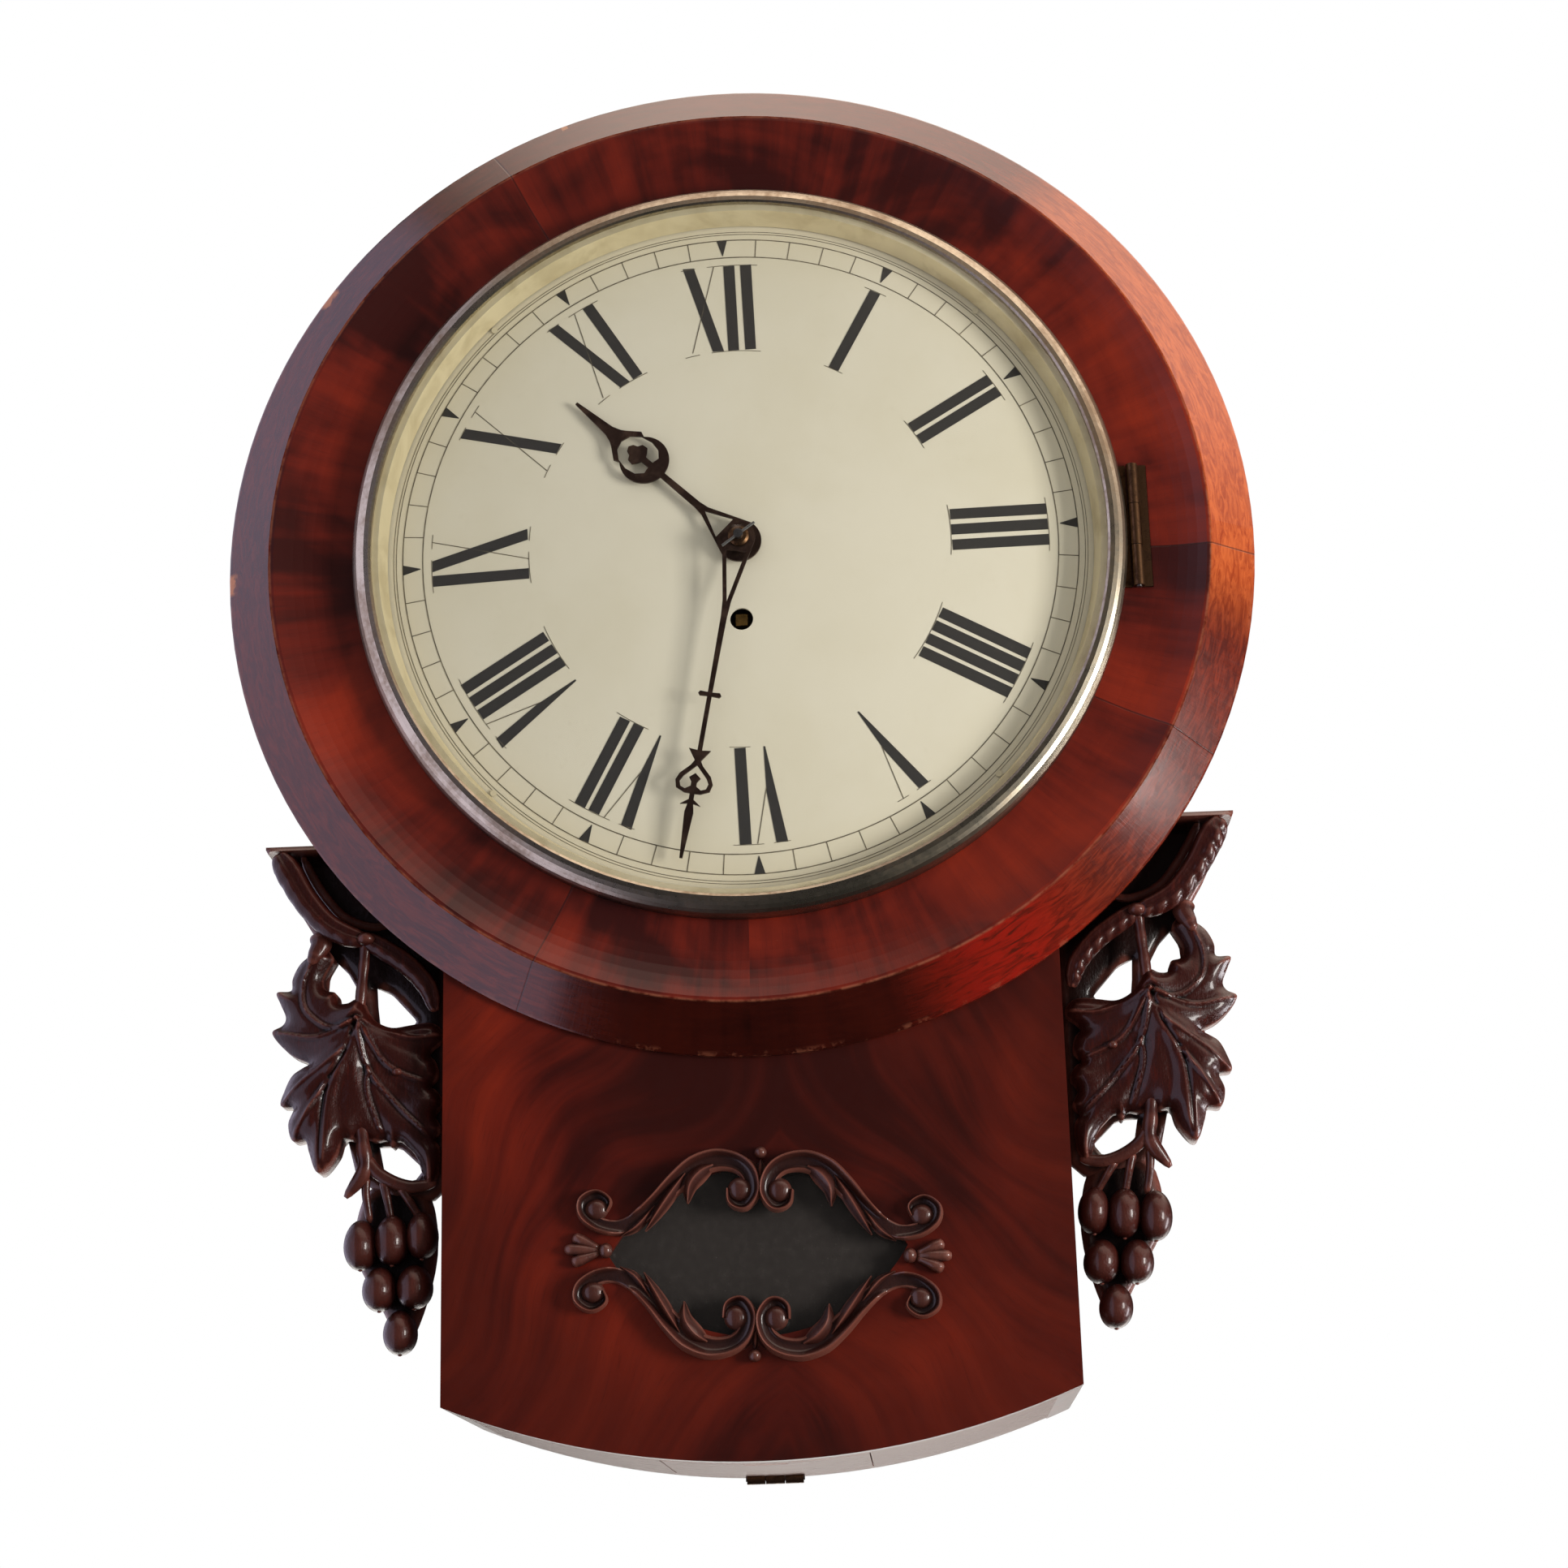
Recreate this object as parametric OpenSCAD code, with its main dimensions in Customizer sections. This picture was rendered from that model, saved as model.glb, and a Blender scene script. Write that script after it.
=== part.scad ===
/* [Dial] */
// Radius of the painted dial
dial_r = 152.4; // [148:0.2:156]
// Thickness of the dial sheet
dial_t = 1.2; // [0.8:0.1:1.8]
// Rise of the domed dial from its edge to its centre
dial_rise = 4; // [3:0.5:9]
// Dial edge in front of the box
dial_step = 6; // [5:0.5:8]
// Radius of the key hole in the dial
key_hole_r = 4.9; // [4.2:0.1:5.5]

/* [Surround] */
// Width of the surround's face, from the bezel to its raised crest
face_w = 35; // [28:1:42]
// Width of the surround's bevel, from its crest to its outer edge
bevel_w = 20; // [16:1:26]
// Thickness of the surround at its outer edge
surround_edge = 3; // [2:0.5:6]
// Crest in front of the box
crest_step = 17; // [14:0.5:22]
// Bezel seat in front of the box
seat_step = 11; // [9.5:0.5:13]
// Length of the two battens behind the surround
batten_len = 160; // [120:5:180]
// Width of each batten
batten_w = 12; // [9:1:16]

/* [Case] */
// Width of the box
case_w = 254; // [244:1:262]
// Depth of the box, wall to surround
case_d = 125; // [122:1:140]
// Thickness of the sides and top
board_t = 10; // [8:0.5:12]
// Thickness of the backboard
back_t = 8; // [6:0.5:10]
// Thickness of the trunk's front board
front_t = 8; // [7:0.5:10]
// Thickness of the curved bottom
bottom_t = 8; // [6:0.5:10]
// Top of the box above the dial centre
top_rise = 165; // [160:1:170]
// Bottom corners below the dial centre
corner_drop = 355; // [350:1:380]
// Sag of the curved bottom between its corners
foot_sag = 25; // [18:1:32]
// Top of the trunk front below the dial centre
front_top = 152; // [150:1:156]

/* [Doors] */
// Height of the side door
side_door_h = 120; // [90:5:140]
// Width of the side door, along the depth of the box
side_door_w = 73; // [60:1:76]
// Rear edge of the side door, in front of the wall
side_door_y = 25; // [23:1:27]
// Centre of the side door below the dial centre
side_door_drop = 10; // [0:1:20]
// Width of the bottom door
bottom_door_w = 84; // [70:1:100]
// Depth of the bottom door
bottom_door_l = 88; // [70:1:90]
// Rear edge of the bottom door, in front of the wall
bottom_door_y = 22; // [21:1:26]
// Gap round each door
door_gap = 0.5; // [0.3:0.1:0.8]
// Radius of the turned door knobs
knob_r = 5; // [4:0.5:7]

/* [Hanging plate] */
// Hook hole above the dial centre
hook_rise = 140; // [136:1:144]
// Radius of the hook hole
hook_r = 6; // [4:0.5:8]
// Thickness of the hanging plate
hang_t = 2.5; // [2:0.1:3.5]
// Width of the hanging plate
hang_w = 60; // [50:1:70]
// Height of the hanging plate
hang_h = 40; // [36:1:44]

/* [Lenticle] */
// Middle of the lenticle below the dial centre
lenticle_drop = 298; // [294:1:304]
// Half width of the lenticle opening
lenticle_a = 60; // [54:1:62]
// Half height of the lenticle opening
lenticle_b = 34; // [30:1:36]
// Thickness of the lenticle glass
pane_t = 2; // [1.5:0.1:2.8]
// Lean of the carved frame, clockwise from the front
frame_lean = 2.4; // [0:0.2:4]
// Height of the carved frame above the trunk front
frame_t = 7; // [5:0.5:10]

/* [Ears] */
// Thickness of each carved ear
ear_t = 25; // [20:1:30]
// Radius of a carved grape
grape_r = 7.6; // [7:0.1:8]

/* [Bezel] */
// Width of the bezel's metal
bezel_w = 8.6; // [7.6:0.2:10]
// Inner lip of the bezel beyond the edge of the dial
lip_gap = 4; // [3.4:0.2:5]
// Height of the bezel above its seat
bezel_h = 9.5; // [8:0.5:12]
// Height of the outer wall of the bezel
bezel_wall = 3; // [2.5:0.1:4]
// Thickness of the bezel glass
glass_t = 2; // [1.6:0.1:2.4]
// Rise of the domed glass
glass_rise = 13; // [12.5:0.5:16]
// Height of the bezel hinge
bezel_hinge_h = 55; // [45:1:65]
// Width of the fixed leaf of the bezel hinge
bezel_leaf_w = 6; // [5:0.5:10]

/* [Hinges] */
// Radius of a hinge knuckle
knuckle_r = 2.4; // [2.2:0.1:2.7]
// Radius of a hinge pin
pin_r = 1.2; // [1:0.05:1.4]
// Thickness of a hinge leaf
leaf_t = 1.2; // [1:0.1:1.4]
// Width of a hinge leaf
leaf_w = 10; // [8:0.5:11]
// Height of each small hinge
small_hinge_h = 24; // [18:1:30]

/* [Movement plates] */
// Width of the movement plates
plate_w = 100; // [96:1:110]
// Top of the plates above the dial centre
plate_top = 68; // [66:1:74]
// Bottom of the plates below the dial centre
plate_drop = 122; // [121:1:128]
// Thickness of a plate
plate_t = 2.8; // [2.2:0.1:3.4]
// Space between the plates
plate_gap = 50; // [48:1:53]
// Front plate behind the front of the box
plate_set = 8; // [7.5:0.5:10]
// Radius of a pillar
pillar_r = 5; // [4:0.5:5.5]
// Radius of a dial foot
foot_r = 3; // [2.5:0.1:3.4]

/* [Train] */
// Fusee arbor below the centre arbor
fusee_drop = 34; // [33:0.5:35]
// Teeth of the great wheel
great_teeth = 96; // [84:12:96]
// Leaves of the centre pinion
centre_leaves = 8; // [7:1:8]
// Teeth of the centre wheel
centre_teeth = 72; // [66:6:72]
// Leaves of the third and escape pinions
fine_leaves = 7; // [7:1:8]
// Teeth of the third wheel
third_teeth = 70; // [65:5:70]
// Teeth of the escape wheel
escape_teeth = 30; // [28:1:32]
// Distance from centre arbor to third arbor
third_reach = 23.7; // [23:0.1:24.5]
// Distance from third arbor to escape arbor
escape_reach = 19.25; // [18.8:0.05:19.8]
// Escape arbor above the centre arbor
escape_rise = 36; // [35:0.5:37]
// Radius of the escape wheel
escape_r = 16; // [15:0.1:16.4]
// Pallet arbor above the escape arbor
pallet_rise = 22.6; // [22:0.1:23.4]
// Thickness of the great wheel
great_t = 3; // [2:0.5:3.5]
// Thickness of the other wheels
wheel_t = 2; // [1.4:0.1:2.4]
// Radius of the train arbors
arbor_r = 0.95; // [0.92:0.01:1.1]
// Radius of a pivot
pivot_r = 0.9; // [0.7:0.05:1.1]
// Clearance of a pivot in its hole
pivot_fit = 0.05; // [0.03:0.01:0.08]

/* [Fusee and barrel] */
// Radius of the barrel
barrel_r = 23.5; // [22:0.5:24]
// Wall of the barrel
barrel_t = 1.6; // [1.2:0.1:2]
// Barrel arbor below the fusee arbor
barrel_drop = 57.5; // [57:0.5:58.5]
// Large radius of the fusee
fusee_r = 21.5; // [20:0.5:22.5]
// Small radius of the fusee
fusee_tip_r = 9; // [8:0.5:9.5]
// Turns of line on the fusee
fusee_turns = 16; // [12:1:16]
// Radius of the line
line_r = 0.6; // [0.4:0.05:0.65]
// Side of the winding square
square_w = 5; // [4.5:0.1:5.4]
// Turns of the mainspring
spring_turns = 9; // [7:1:10]

/* [Motion work] */
// Teeth of the cannon wheel and the minute wheel
cannon_teeth = 36; // [34:1:38]
// Leaves of the minute pinion
minute_leaves = 6; // [6:1:7]
// Minute wheel post beside the centre arbor
minute_reach = 25.2; // [24.8:0.1:26]
// Radius of the cannon pipe
cannon_pipe_r = 3.2; // [3:0.1:3.4]
// Radius of the hour pipe
hour_pipe_r = 5; // [4.6:0.1:5.4]

/* [Hands] */
// Length of the hour hand
hour_len = 96.8; // [92:0.1:102]
// Length of the minute hand
minute_len = 140.8; // [136:0.1:144]
// Thickness of a hand
hand_t = 1.2; // [0.9:0.1:1.5]
// Radius of the sweep that bends each hand over the dial
hand_sweep = 1600; // [1200:50:2400]
// Angle of the minute hand, clockwise from twelve
minute_angle = 191.2; // [180:0.1:200]
// Angle of the hour hand, clockwise from twelve
hour_angle = 314.2; // [308:0.1:320]

/* [Pendulum] */
// Pendulum length, bending point to bob centre
pendulum_len = 338; // [335:1:342]
// Radius of the bob
bob_r = 35; // [30:1:38]
// Thickness of the bob
bob_t = 22; // [16:1:24]
// Radius of the rod
rod_r = 2; // [1.6:0.1:2.4]
// Radius of the rating nut
nut_r = 7; // [5:0.5:9]

/* [Hidden] */

mahogany = "#6e2315";
dark_wood = "#3b1a12";
plain_wood = "#8a6a48";
brass = "#b89a5a";
dull_brass = "#8d8272";
steel = "#6c6f74";
blued = "#3a2a28";

// Clearances
seat_gap = 0.3;
peg_fit = 0.03;
arbor_end = 0.4;

// Depths in front of the wall
d_dial = case_d + dial_step;
d_seat = case_d + seat_step;
d_bezel = d_seat + seat_gap;
d_crest = case_d + crest_step;
d_apex = d_dial + dial_rise;
d_front_plate = case_d - plate_set - plate_t;
d_back_plate = d_front_plate - plate_gap - plate_t;
d_inner = d_back_plate + plate_t;
dome_r = (pow(dial_r, 2) + pow(dial_rise, 2)) / (2 * dial_rise);

// Box
inner_w = case_w - 2 * board_t;
arc_r = (pow(case_w / 2, 2) + pow(foot_sag, 2)) / (2 * foot_sag);
arc_z = arc_r - corner_drop - foot_sag;
low_z = -corner_drop - foot_sag;
rebate_w = 3;
rebate_r = dial_r + 0.8;
opening_r = dial_r - 5.4;

// Doors
side_hinge_x = case_w / 2 + knuckle_r - leaf_t / 2;
side_free_gap = sqrt(pow(side_door_w, 2) + pow(board_t + knuckle_r, 2)) - side_door_w + seat_gap;
door_edge_rise = arc_r - sqrt(pow(arc_r, 2) - pow(bottom_door_w / 2, 2));
bottom_hinge_z = low_z - knuckle_r + leaf_t / 2 + 0.9;
bottom_free_gap = sqrt(pow(bottom_door_l, 2) + pow(bottom_t + knuckle_r + door_edge_rise, 2))
    - bottom_door_l + seat_gap;
hinge_z = side_door_h / 2 - small_hinge_h / 2 - 12;
knuckle_gap = 0.3;

// Bezel, crest and rim, from the dial outwards
bezel_lip_r = dial_r + lip_gap;
bezel_r = bezel_lip_r + bezel_w;
crest_r = bezel_r + face_w;
surround_r = crest_r + bevel_w;

// Bezel hinge
bezel_hinge_x = bezel_r + 3.6;
bezel_hinge_d = d_bezel + knuckle_r;

// Train places, measured from the dial centre
great_m = 2 * fusee_drop / (great_teeth + centre_leaves);
centre_m = 2 * third_reach / (centre_teeth + fine_leaves);
third_m = 2 * escape_reach / (third_teeth + fine_leaves);
third_z = (pow(third_reach, 2) - pow(escape_reach, 2) + pow(escape_rise, 2)) / (2 * escape_rise);
third_x = sqrt(pow(third_reach, 2) - pow(third_z, 2));
third_dir = atan2(third_z, third_x);
escape_dir = atan2(escape_rise - third_z, -third_x);
pallet_z = escape_rise + pallet_rise;
barrel_z = -fusee_drop - barrel_drop;
d_great = d_inner + 4;
d_centre_wheel = d_inner + plate_gap - 6.5;
d_third_wheel = d_inner + 16;
d_escape_wheel = d_inner + 5;

// Motion work
d_motion = d_front_plate + plate_t;
cannon_m = 2 * minute_reach / (2 * cannon_teeth);
hour_teeth = 12 * minute_leaves;
hour_m = 2 * minute_reach / (hour_teeth + minute_leaves);
d_cannon = d_motion + 2;
d_hour_wheel = d_cannon + wheel_t + 2.5;
d_hour_hand = d_apex + 4.2;
d_minute_hand = d_hour_hand + 4.5;

// Pendulum
d_rod = d_back_plate - 12;
bob_z = pallet_z - pendulum_len;
cock_d0 = d_back_plate - 9;
cock_d1 = d_back_plate - 5.5;

// Frames of reference
module at_dial() translate([0, 0, -hook_rise]) children();
module slab(d0, d1) rotate([90, 0, 0]) translate([0, 0, d0]) linear_extrude(d1 - d0) children();
module spun(fn = 120) rotate([90, 0, 0]) rotate_extrude($fn = fn) children();
module rod(r, d0, d1, fn = 32) rotate([90, 0, 0]) translate([0, 0, d0])
    cylinder(r = r, h = d1 - d0, $fn = fn);
module at(x, z) translate([x, 0, z]) children();
module both_sides() {
    children();
    mirror([1, 0, 0]) children();
}

// Point at radius r and angle a round c
function turn_point(c, r, a) = [c[0] + r * cos(a), c[1] + r * sin(a)];

// Point at radius r on a dome of radius big whose front pole lies at depth d
function dome_point(r, big, d) = [r, d - big + sqrt(big * big - r * r)];

// Ball whose front pole lies at depth d
module ball_front(d, r) translate([0, r - d, 0]) sphere(r = r, $fn = 360);

// Box outline from the front: straight sides, curved bottom
module box_outline(w, top, r) intersection() {
    translate([-w / 2, low_z - 1]) square([w, top - low_z + 1]);
    translate([0, arc_z]) circle(r = r, $fn = 360);
}

// Pointed oval through (a, 0) and (0, b)
module pointed_oval(a, b) {
    r = (a * a + b * b) / (2 * b);
    intersection() {
        translate([0, b - r]) circle(r = r, $fn = 180);
        translate([0, r - b]) circle(r = r, $fn = 180);
    }
}

// Canonical hinge: axis along Z, outside towards +X, fixed leaf towards -Y
module hinge_part(len, w, moving) {
    third = len / 3;
    side = moving ? 1 : -1;
    spans = moving ? [[third, third]] : [[0, third - knuckle_gap], [2 * third + knuckle_gap,
        third - knuckle_gap]];
    translate([0, 0, -len / 2]) difference() {
        union() {
            for (s = spans) {
                translate([0, 0, s[0]]) cylinder(r = knuckle_r, h = s[1], $fn = 32);
                translate([-knuckle_r, side > 0 ? 0 : -knuckle_r - 1, s[0]])
                    cube([leaf_t, knuckle_r + 1, s[1]]);
            }
            translate([-knuckle_r, side > 0 ? knuckle_r + seat_gap : -w, 0])
                cube([leaf_t, w - knuckle_r - seat_gap, len]);
        }
        translate([0, 0, -1]) cylinder(r = pin_r + pivot_fit, h = len + 2, $fn = 32);
    }
}

// Pocket that clears a hinge: leaf beds and the knuckle
module hinge_pocket(len, w) translate([0, 0, -len / 2]) {
    translate([-knuckle_r, -w, 0]) cube([leaf_t, 2 * w, len]);
    translate([0, 0, -0.2]) cylinder(r = knuckle_r + 0.35, h = len + 0.4, $fn = 32);
}

module side_hinge_frame() translate([side_hinge_x, -side_door_y, -side_door_drop])
    mirror([0, 1, 0]) children();
module bottom_hinge_frame() translate([0, -bottom_door_y, bottom_hinge_z])
    rotate([0, 90, 0]) mirror([0, 1, 0]) children();
module bezel_hinge_frame() translate([bezel_hinge_x, -bezel_hinge_d, 0])
    rotate([0, 0, -90]) mirror([0, 1, 0]) children();

// Box
module backboard() color(plain_wood) at_dial() difference() {
    slab(0, back_t) box_outline(inner_w, top_rise - board_t, arc_r - bottom_t);
    at(0, hook_rise) rod(hook_r + 5, -1, back_t + 1);
    at(-hang_w / 2, hook_rise + 12 - hang_h) translate([0, -hang_t, 0])
        cube([hang_w, hang_t + 1, hang_h]);
    hang_screws(0.05);
}

module side_board() difference() {
    intersection() {
        slab(0, case_d) box_outline(case_w, top_rise, arc_r);
        translate([case_w / 2 - board_t, -case_d, low_z]) cube([board_t, case_d, 900]);
    }
    translate([0, -case_d - 1, low_z - 1])
        cube([case_w, front_t + 1, corner_drop + foot_sag + 1 - front_top]);
    for (z = [-1, 1]) peg_hole(z);
}

module peg_hole(z) translate([case_w / 2 - board_t - 1, -case_d + 10, z * (batten_len / 2 - 20)])
    rotate([0, 90, 0]) cylinder(r = 4, h = board_t + batten_w + 2, $fn = 32);

module side_left() color(mahogany) at_dial() mirror([1, 0, 0]) side_board();

module side_right() color(mahogany) at_dial() difference() {
    side_board();
    translate([case_w / 2 - board_t - 1, -side_door_y - side_door_w,
        -side_door_drop - side_door_h / 2])
        cube([board_t + 2, side_door_w, side_door_h]);
    for (s = [-1, 1]) translate([0, 0, s * hinge_z])
        side_hinge_frame() hinge_pocket(small_hinge_h, leaf_w);
}

module box_top() color(plain_wood) at_dial()
    translate([-inner_w / 2, -case_d, top_rise - board_t]) cube([inner_w, case_d, board_t]);

module trunk_front() color(mahogany) at_dial() difference() {
    slab(case_d - front_t, case_d) box_outline(case_w, -front_top, arc_r);
    at(0, -lenticle_drop) slab(case_d - front_t - 1, case_d + 1)
        pointed_oval(lenticle_a, lenticle_b);
    at(0, -lenticle_drop) slab(case_d - front_t - 1, case_d - front_t + pane_t + 1)
        pointed_oval(lenticle_a + rebate_w, lenticle_b + rebate_w);
}

module bottom_arc(w, d0, d1) slab(d0, d1) difference() {
    intersection() {
        translate([-w / 2, low_z - 1]) square([w, foot_sag + bottom_t + 40]);
        translate([0, arc_z]) circle(r = arc_r, $fn = 360);
    }
    translate([0, arc_z]) circle(r = arc_r - bottom_t, $fn = 360);
}

module bottom_board() color(plain_wood) at_dial() difference() {
    bottom_arc(inner_w, back_t, case_d - front_t);
    translate([-bottom_door_w / 2, -bottom_door_y - bottom_door_l, low_z - 1])
        cube([bottom_door_w, bottom_door_l, bottom_t + foot_sag]);
    bottom_hinge_frame() hinge_pocket(small_hinge_h, leaf_w);
}

// Nail groove by which the bottom door is pulled down
nail_groove_r = 1.6;
module bottom_door() color(plain_wood) at_dial() difference() {
    bottom_arc(bottom_door_w - 2 * door_gap, bottom_door_y + door_gap,
        bottom_door_y + bottom_door_l - bottom_free_gap);
    bottom_hinge_frame() hinge_pocket(small_hinge_h, leaf_w);
    translate([0, -bottom_door_y - bottom_door_l + 8, low_z]) rotate([0, 90, 0])
        cylinder(r = nail_groove_r, h = 18, center = true, $fn = 48);
}

module side_door() color(mahogany) at_dial() difference() {
    translate([case_w / 2 - board_t, -side_door_y - side_door_w + side_free_gap,
        -side_door_drop - side_door_h / 2 + door_gap])
        cube([board_t, side_door_w - side_free_gap - door_gap, side_door_h - 2 * door_gap]);
    for (s = [-1, 1]) translate([0, 0, s * hinge_z])
        side_hinge_frame() hinge_pocket(small_hinge_h, leaf_w);
    side_knob_frame() cylinder(r = knob_stem + peg_fit, h = 40, center = true, $fn = 32);
}

module fixed_leaves() color(brass) at_dial() {
    for (s = [-1, 1]) translate([0, 0, s * hinge_z])
        side_hinge_frame() hinge_part(small_hinge_h, leaf_w, false);
    bottom_hinge_frame() hinge_part(small_hinge_h, leaf_w, false);
    bezel_hinge_frame() hinge_part(bezel_hinge_h, bezel_leaf_w, false);
}

module side_door_leaves() color(brass) at_dial()
    for (s = [-1, 1]) translate([0, 0, s * hinge_z])
        side_hinge_frame() hinge_part(small_hinge_h, leaf_w, true);

module bottom_door_leaf() color(brass) at_dial()
    bottom_hinge_frame() hinge_part(small_hinge_h, leaf_w, true);

module pin(len) translate([0, 0, -len / 2]) cylinder(r = pin_r, h = len, $fn = 32);

module hinge_pins() color(steel) at_dial() {
    for (s = [-1, 1]) translate([0, 0, s * hinge_z]) side_hinge_frame() pin(small_hinge_h + 1);
    bottom_hinge_frame() pin(small_hinge_h + 1);
    bezel_hinge_frame() pin(bezel_hinge_h + 1);
}

// Turned knob with a stem that passes through its door
knob_stem = 2;
module knob(stem) rotate_extrude($fn = 48) polygon([[0, -stem], [knob_stem, -stem], [knob_stem, 0],
    [knob_r - 1, 0], [knob_r - 1, 1.2], [2.2, 2.6], [2.2, 4], [knob_r * 0.8, 5.2],
    [knob_r, 7], [knob_r * 0.84, 9], [knob_r * 0.4, 10.2], [0, 10.4]]);

module side_knob_frame() translate([case_w / 2, -side_door_y - side_door_w + 10, -side_door_drop])
    rotate([0, 90, 0]) children();

module side_door_knob() color(brass) at_dial() side_knob_frame() knob(board_t);

// Turned surround: dial rebate, bezel seat, hollow face, crest and steep outer bevel
face_in = bezel_r + 1.5;
face_steps = 8;
hollow = 1.6;
function face_point(t) = [face_in + (crest_r - 1.5 - face_in) * t,
    d_seat + (d_crest - d_seat) * t - hollow * sin(180 * t)];

module dial_surround() color(mahogany) at_dial() difference() {
    spun(180) polygon(concat([[opening_r, case_d], [opening_r, d_dial - dial_t],
        [rebate_r, d_dial - dial_t], [rebate_r, d_dial + 1], [dial_r + 5.4, d_dial + 1],
        [dial_r + 5.4, d_seat]],
        [for (k = [0:face_steps]) face_point(k / face_steps)],
        [[crest_r + 0.6, d_crest - 0.2], [surround_r - 0.6, case_d + surround_edge],
        [surround_r, case_d + surround_edge - 0.6], [surround_r, case_d]]));
    bezel_hinge_frame() bezel_leaf_bed();
    dial_holes(d_dial - dial_t - dial_screw_l, d_dial);
}

module bezel_leaf_bed() translate([0, 0, -bezel_hinge_h / 2 - 0.1]) {
    translate([-knuckle_r, -bezel_leaf_w - seat_gap, 0])
        cube([knuckle_r + leaf_t + 3, bezel_leaf_w + seat_gap, bezel_hinge_h + 0.2]);
    cylinder(r = knuckle_r + 0.3, h = bezel_hinge_h + 0.2, $fn = 32);
}

module surround_battens() color(plain_wood) at_dial() difference() {
    both_sides() translate([case_w / 2, -case_d, -batten_len / 2])
        cube([batten_w, 20, batten_len]);
    both_sides() for (z = [-1, 1]) peg_hole(z);
}

module case_pegs() color(plain_wood) at_dial() both_sides() for (z = [-1, 1])
    translate([case_w / 2 - board_t, -case_d + 10, z * (batten_len / 2 - 20)]) rotate([0, 90, 0])
        cylinder(r = 4 - peg_fit, h = board_t + batten_w + 3, $fn = 32);

// Carved ear. Points are [distance from the dial axis, height from the dial centre].
ear_side = 127;
leaf_eye = [164, -204];
leaf_tips = [[183, -167], [191, -176], [198, -185], [200, -201], [187, -213], [195, -231],
    [189, -246], [177, -260], [170, -244], [157, -247], [147, -248], [131, -262], [129, -242],
    [130, -229], [131, -216], [130, -205], [146, -196]];
ear_plate = [[127, -124], [204, -124], [198, -135], [190, -151], [180, -167], [188, -172],
    [192, -184], [193, -198], [186, -212], [190, -226], [185, -242], [177, -254], [169, -246],
    [165, -262], [150, -272], [134, -272], [127, -266]];
stem_main = [[196, -131, 6.5], [188, -146, 5.5], [180, -157, 5], [169, -163, 4.6],
    [157, -166, 4.4], [147, -173, 4.2], [139, -186, 3.6], [132, -200, 3]];
stem_middle = [[166, -165, 3.6], [162, -180, 3.2], [161, -198, 3]];
stem_low = [[164, -226, 2.6], [161, -242, 3], [161, -258, 3.6], [167, -269, 4]];
stem_fork = [[160, -254, 3], [152, -266, 3.2], [137, -267, 2.8]];
grapes = [[161.5, -290], [148, -289], [136, -287.5], [153, -307], [139.5, -307], [144, -325]];
bunch_core = [[138, -266], [160, -266], [166, -290], [157, -310], [145, -329], [136, -312],
    [132, -288]];
hole_upper = [[175, -171], [170, -176], [166, -183], [165, -189], [169, -191], [173, -190],
    [174, -186], [179, -184], [178.5, -177]];
hole_inner = [[158.5, -182], [152, -185], [141, -197], [143, -200], [150, -201], [157, -198],
    [158, -190]];
hole_lower = [[156.5, -249], [151, -249], [147, -250], [137.5, -259], [141, -263.5],
    [150, -263.5], [154.5, -259]];

function ear_xz(p) = [p[0] - ear_side, p[1]];
function reach(a, b) = sqrt(pow(a[0] - b[0], 2) + pow(a[1] - b[1], 2));

// One ridged tooth of the leaf, from the eye to its tip
module leaf_tooth(tip, level) {
    eye = ear_xz(leaf_eye);
    end = ear_xz(tip);
    len = reach(eye, end);
    turn = atan2(end[1] - eye[1], end[0] - eye[0]);
    half = 3 + len * 0.12;
    hull() {
        at(eye[0], eye[1]) rotate([0, -turn, 0]) slab(level - 12, level - 6)
            polygon([[-2, -2], [len * 0.55, -half], [len * 0.8, -half * 0.7], [len, 0],
                [len * 0.8, half * 0.7], [len * 0.55, half], [-2, 2]]);
        at(eye[0], eye[1]) rotate([0, -turn, 0]) slab(level - 3, level)
            polygon([[len * 0.2, -0.5], [len * 0.7, 0], [len * 0.2, 0.5]]);
    }
}

module stem_chain(points, d) for (k = [0:len(points) - 2]) hull() for (p = [points[k], points[k + 1]])
    translate([p[0] - ear_side, -d, p[1]]) sphere(r = p[2], $fn = 9);

module hole_2d(points) polygon([for (p = points) ear_xz(p)]);

module carved_ear() translate([case_w / 2, 0, 0]) difference() {
    d0 = case_d - ear_t;
    union() {
        slab(d0, d0 + 9) polygon([for (p = ear_plate) ear_xz(p)]);
        for (p = leaf_tips) leaf_tooth(p, d0 + 19);
        stem_chain(stem_main, d0 + 16);
        stem_chain(stem_middle, d0 + 17);
        stem_chain(stem_low, d0 + 17);
        stem_chain(stem_fork, d0 + 13);
        slab(d0, d0 + 8) polygon([for (p = bunch_core) ear_xz(p)]);
        for (g = grapes) hull() for (s = [-1, 1])
            translate([g[0] - ear_side, -d0 - 11, g[1] + s * 1.6]) sphere(r = grape_r, $fn = 14);
    }
    slab(d0 - 1, case_d + 1) hole_2d(hole_upper);
    slab(d0 - 1, case_d + 1) hole_2d(hole_inner);
    slab(d0 - 1, case_d + 1) hole_2d(hole_lower);
    translate([-60, -case_d - 30, -400]) cube([60, 200, 400]);
    translate([-10, -case_d - 30, -400]) cube([200, 30, 400]);
    translate([-10, -d0, -400]) cube([200, 60, 400]);
}

module ear_right() color(dark_wood) at_dial() carved_ear();
module ear_left() color(dark_wood) at_dial() mirror([1, 0, 0]) carved_ear();

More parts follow.
